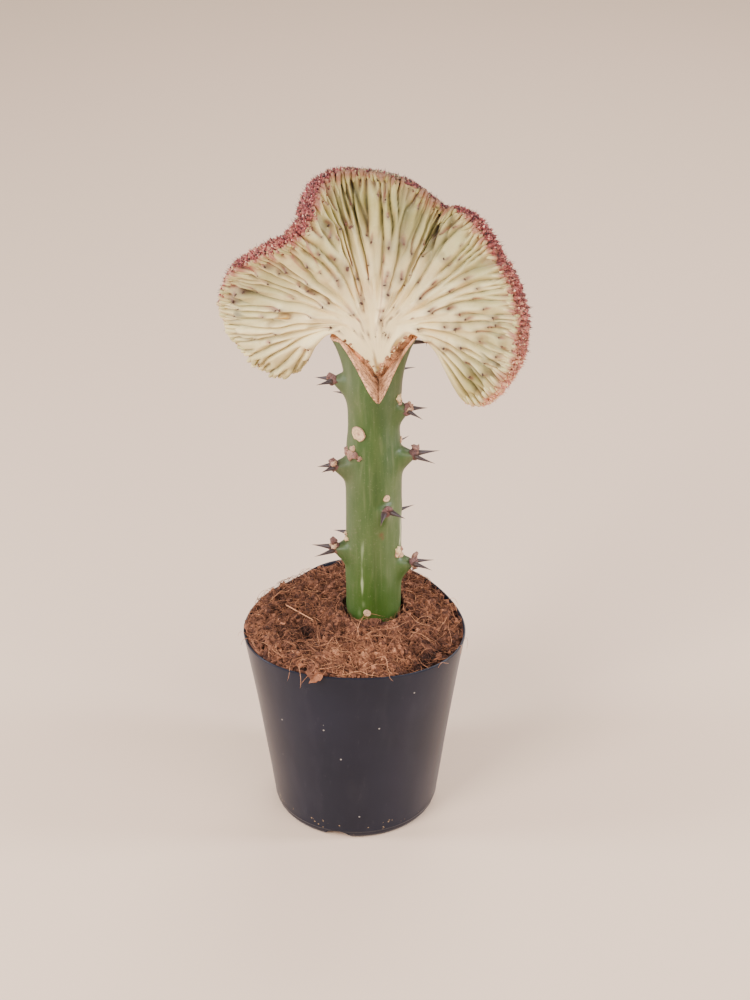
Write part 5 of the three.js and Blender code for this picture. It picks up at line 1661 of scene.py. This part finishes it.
def inlandPlaces(random, count):
    # places on both faces of the fan just inside the band, fewer the further in, mostly where it is thick
    u = alongEdge(random, count)
    reach = edge["inland"] * (0.35 + 0.65 * characterAt(u, 3)) * characterAt(u, 2)
    reach = reach * (1 - 0.5 * ease(stationU(17), stationU(20), u))
    v = 0.945 - reach * random.random(count) ** 1.6
    side = np.where(random.random(count) < 0.5, -1.0, 1.0)
    facing = fanNormal(u, v)
    front, _, _ = fanHalf(u, v, 1.0)
    back, _, _ = fanHalf(u, v, -1.0)
    points = fanPoint(u, v) + facing * (side * np.where(side > 0, front, back))[:, None]
    outward = unit(fanPoint(u, v + 0.01) - fanPoint(u, v))
    return u, points, unit(facing * side[:, None] + 0.7 * outward), outward


def makeGrains(material):
    # packed leaf bases: blunt little domes square to the crown, most of them on the teeth
    random = np.random.default_rng(110)
    count = edge["grains"]
    u = alongEdge(random, count)
    gathered = 0.7 + 0.8 * ease(stationU(17), stationU(20), u)
    tilt = 1.5 * np.sign(random.random(count) - 0.5) * random.random(count) ** gathered
    points, direction, outward, _, tooth = crownPoint(u, tilt)
    size = (0.30 + 0.30 * random.random(count)) * (0.75 + 0.35 * characterAt(u, 3))
    aim = direction + 0.45 * outward + 0.25 * random.normal(size=(count, 3))
    dome = [(0, -0.7), (0.85, -0.6), (1.0, 0.1), (0.62, 0.8), (0, 1.12)]
    tint = np.clip(characterAt(u, 4) - 0.06 + 0.10 * tooth + 0.27 * random.normal(size=count), 0, 1)
    strays = edge["strays"]
    strayU, strayPoints, strayAim, _ = inlandPlaces(random, strays)
    u, points = np.concatenate([u, strayU]), np.concatenate([points, strayPoints])
    aim = np.concatenate([aim, strayAim + 0.25 * random.normal(size=(strays, 3))])
    size = np.concatenate([size, 0.22 + 0.24 * random.random(strays)])
    strayTint = np.clip(characterAt(strayU, 4) - 0.1 + 0.2 * random.normal(size=strays), 0, 1)
    tint = np.concatenate([tint, strayTint])
    count = len(u)
    points, faces = spun(dome, 5, points, aim, size, size * (0.9 + 0.9 * random.random(count)),
                         anyTurns(random, count), 0.8)
    marks = marksPerPoint(edgeMarks(u, tint, random), points)
    newPiece("edge_grains", points, faces, material, None, marks)


def makeLeaflets(material):
    # flat pointed leaflets and fine bristles
    random = np.random.default_rng(120)
    parts, found = [], []
    for count, width, low, high, flat, shape, tone in (
            (edge["leaflets"], 0.36, 0.8, 1.1, 0.45, [(0, -0.5), (0.8, -0.3), (1.0, 0.3), (0, 1.0)], 0.14),
            (edge["bristles"], 0.14, 1.3, 1.9, 1.0, [(0, -0.3), (1.0, -0.2), (0.5, 0.6), (0, 1.0)], -0.26)):
        u = alongEdge(random, count, 0.004)
        tilt = 1.4 * (2 * random.random(count) - 1)
        points, direction, outward, _, _ = crownPoint(u, tilt)
        strayU, strayPoints, strayAim, strayOut = inlandPlaces(random, count // 3)
        u, points = np.concatenate([u, strayU]), np.concatenate([points, strayPoints])
        direction, outward = np.concatenate([direction, strayAim]), np.concatenate([outward, strayOut])
        count = len(u)
        aim = direction + 0.6 * outward + 0.34 * random.normal(size=(count, 3))
        length = (low + high * random.random(count) ** 1.6) * (0.6 + 0.4 * characterAt(u, 3))
        parts.append(spun(shape, 4, points, aim, width * (0.8 + 0.4 * random.random(count)), length,
                          anyTurns(random, count), flat))
        tint = np.clip(characterAt(u, 4) + tone + 0.2 * random.normal(size=count), 0, 1)
        found.append(marksPerPoint(edgeMarks(u, tint, random), parts[-1][0]))
    points, faces = joined(parts)
    newPiece("edge_leaflets", points, faces, material, None, joinedMarks(found))


rose = edgeMaterial()
makeBand(rose)
makeGrains(rose)
makeLeaflets(rose)


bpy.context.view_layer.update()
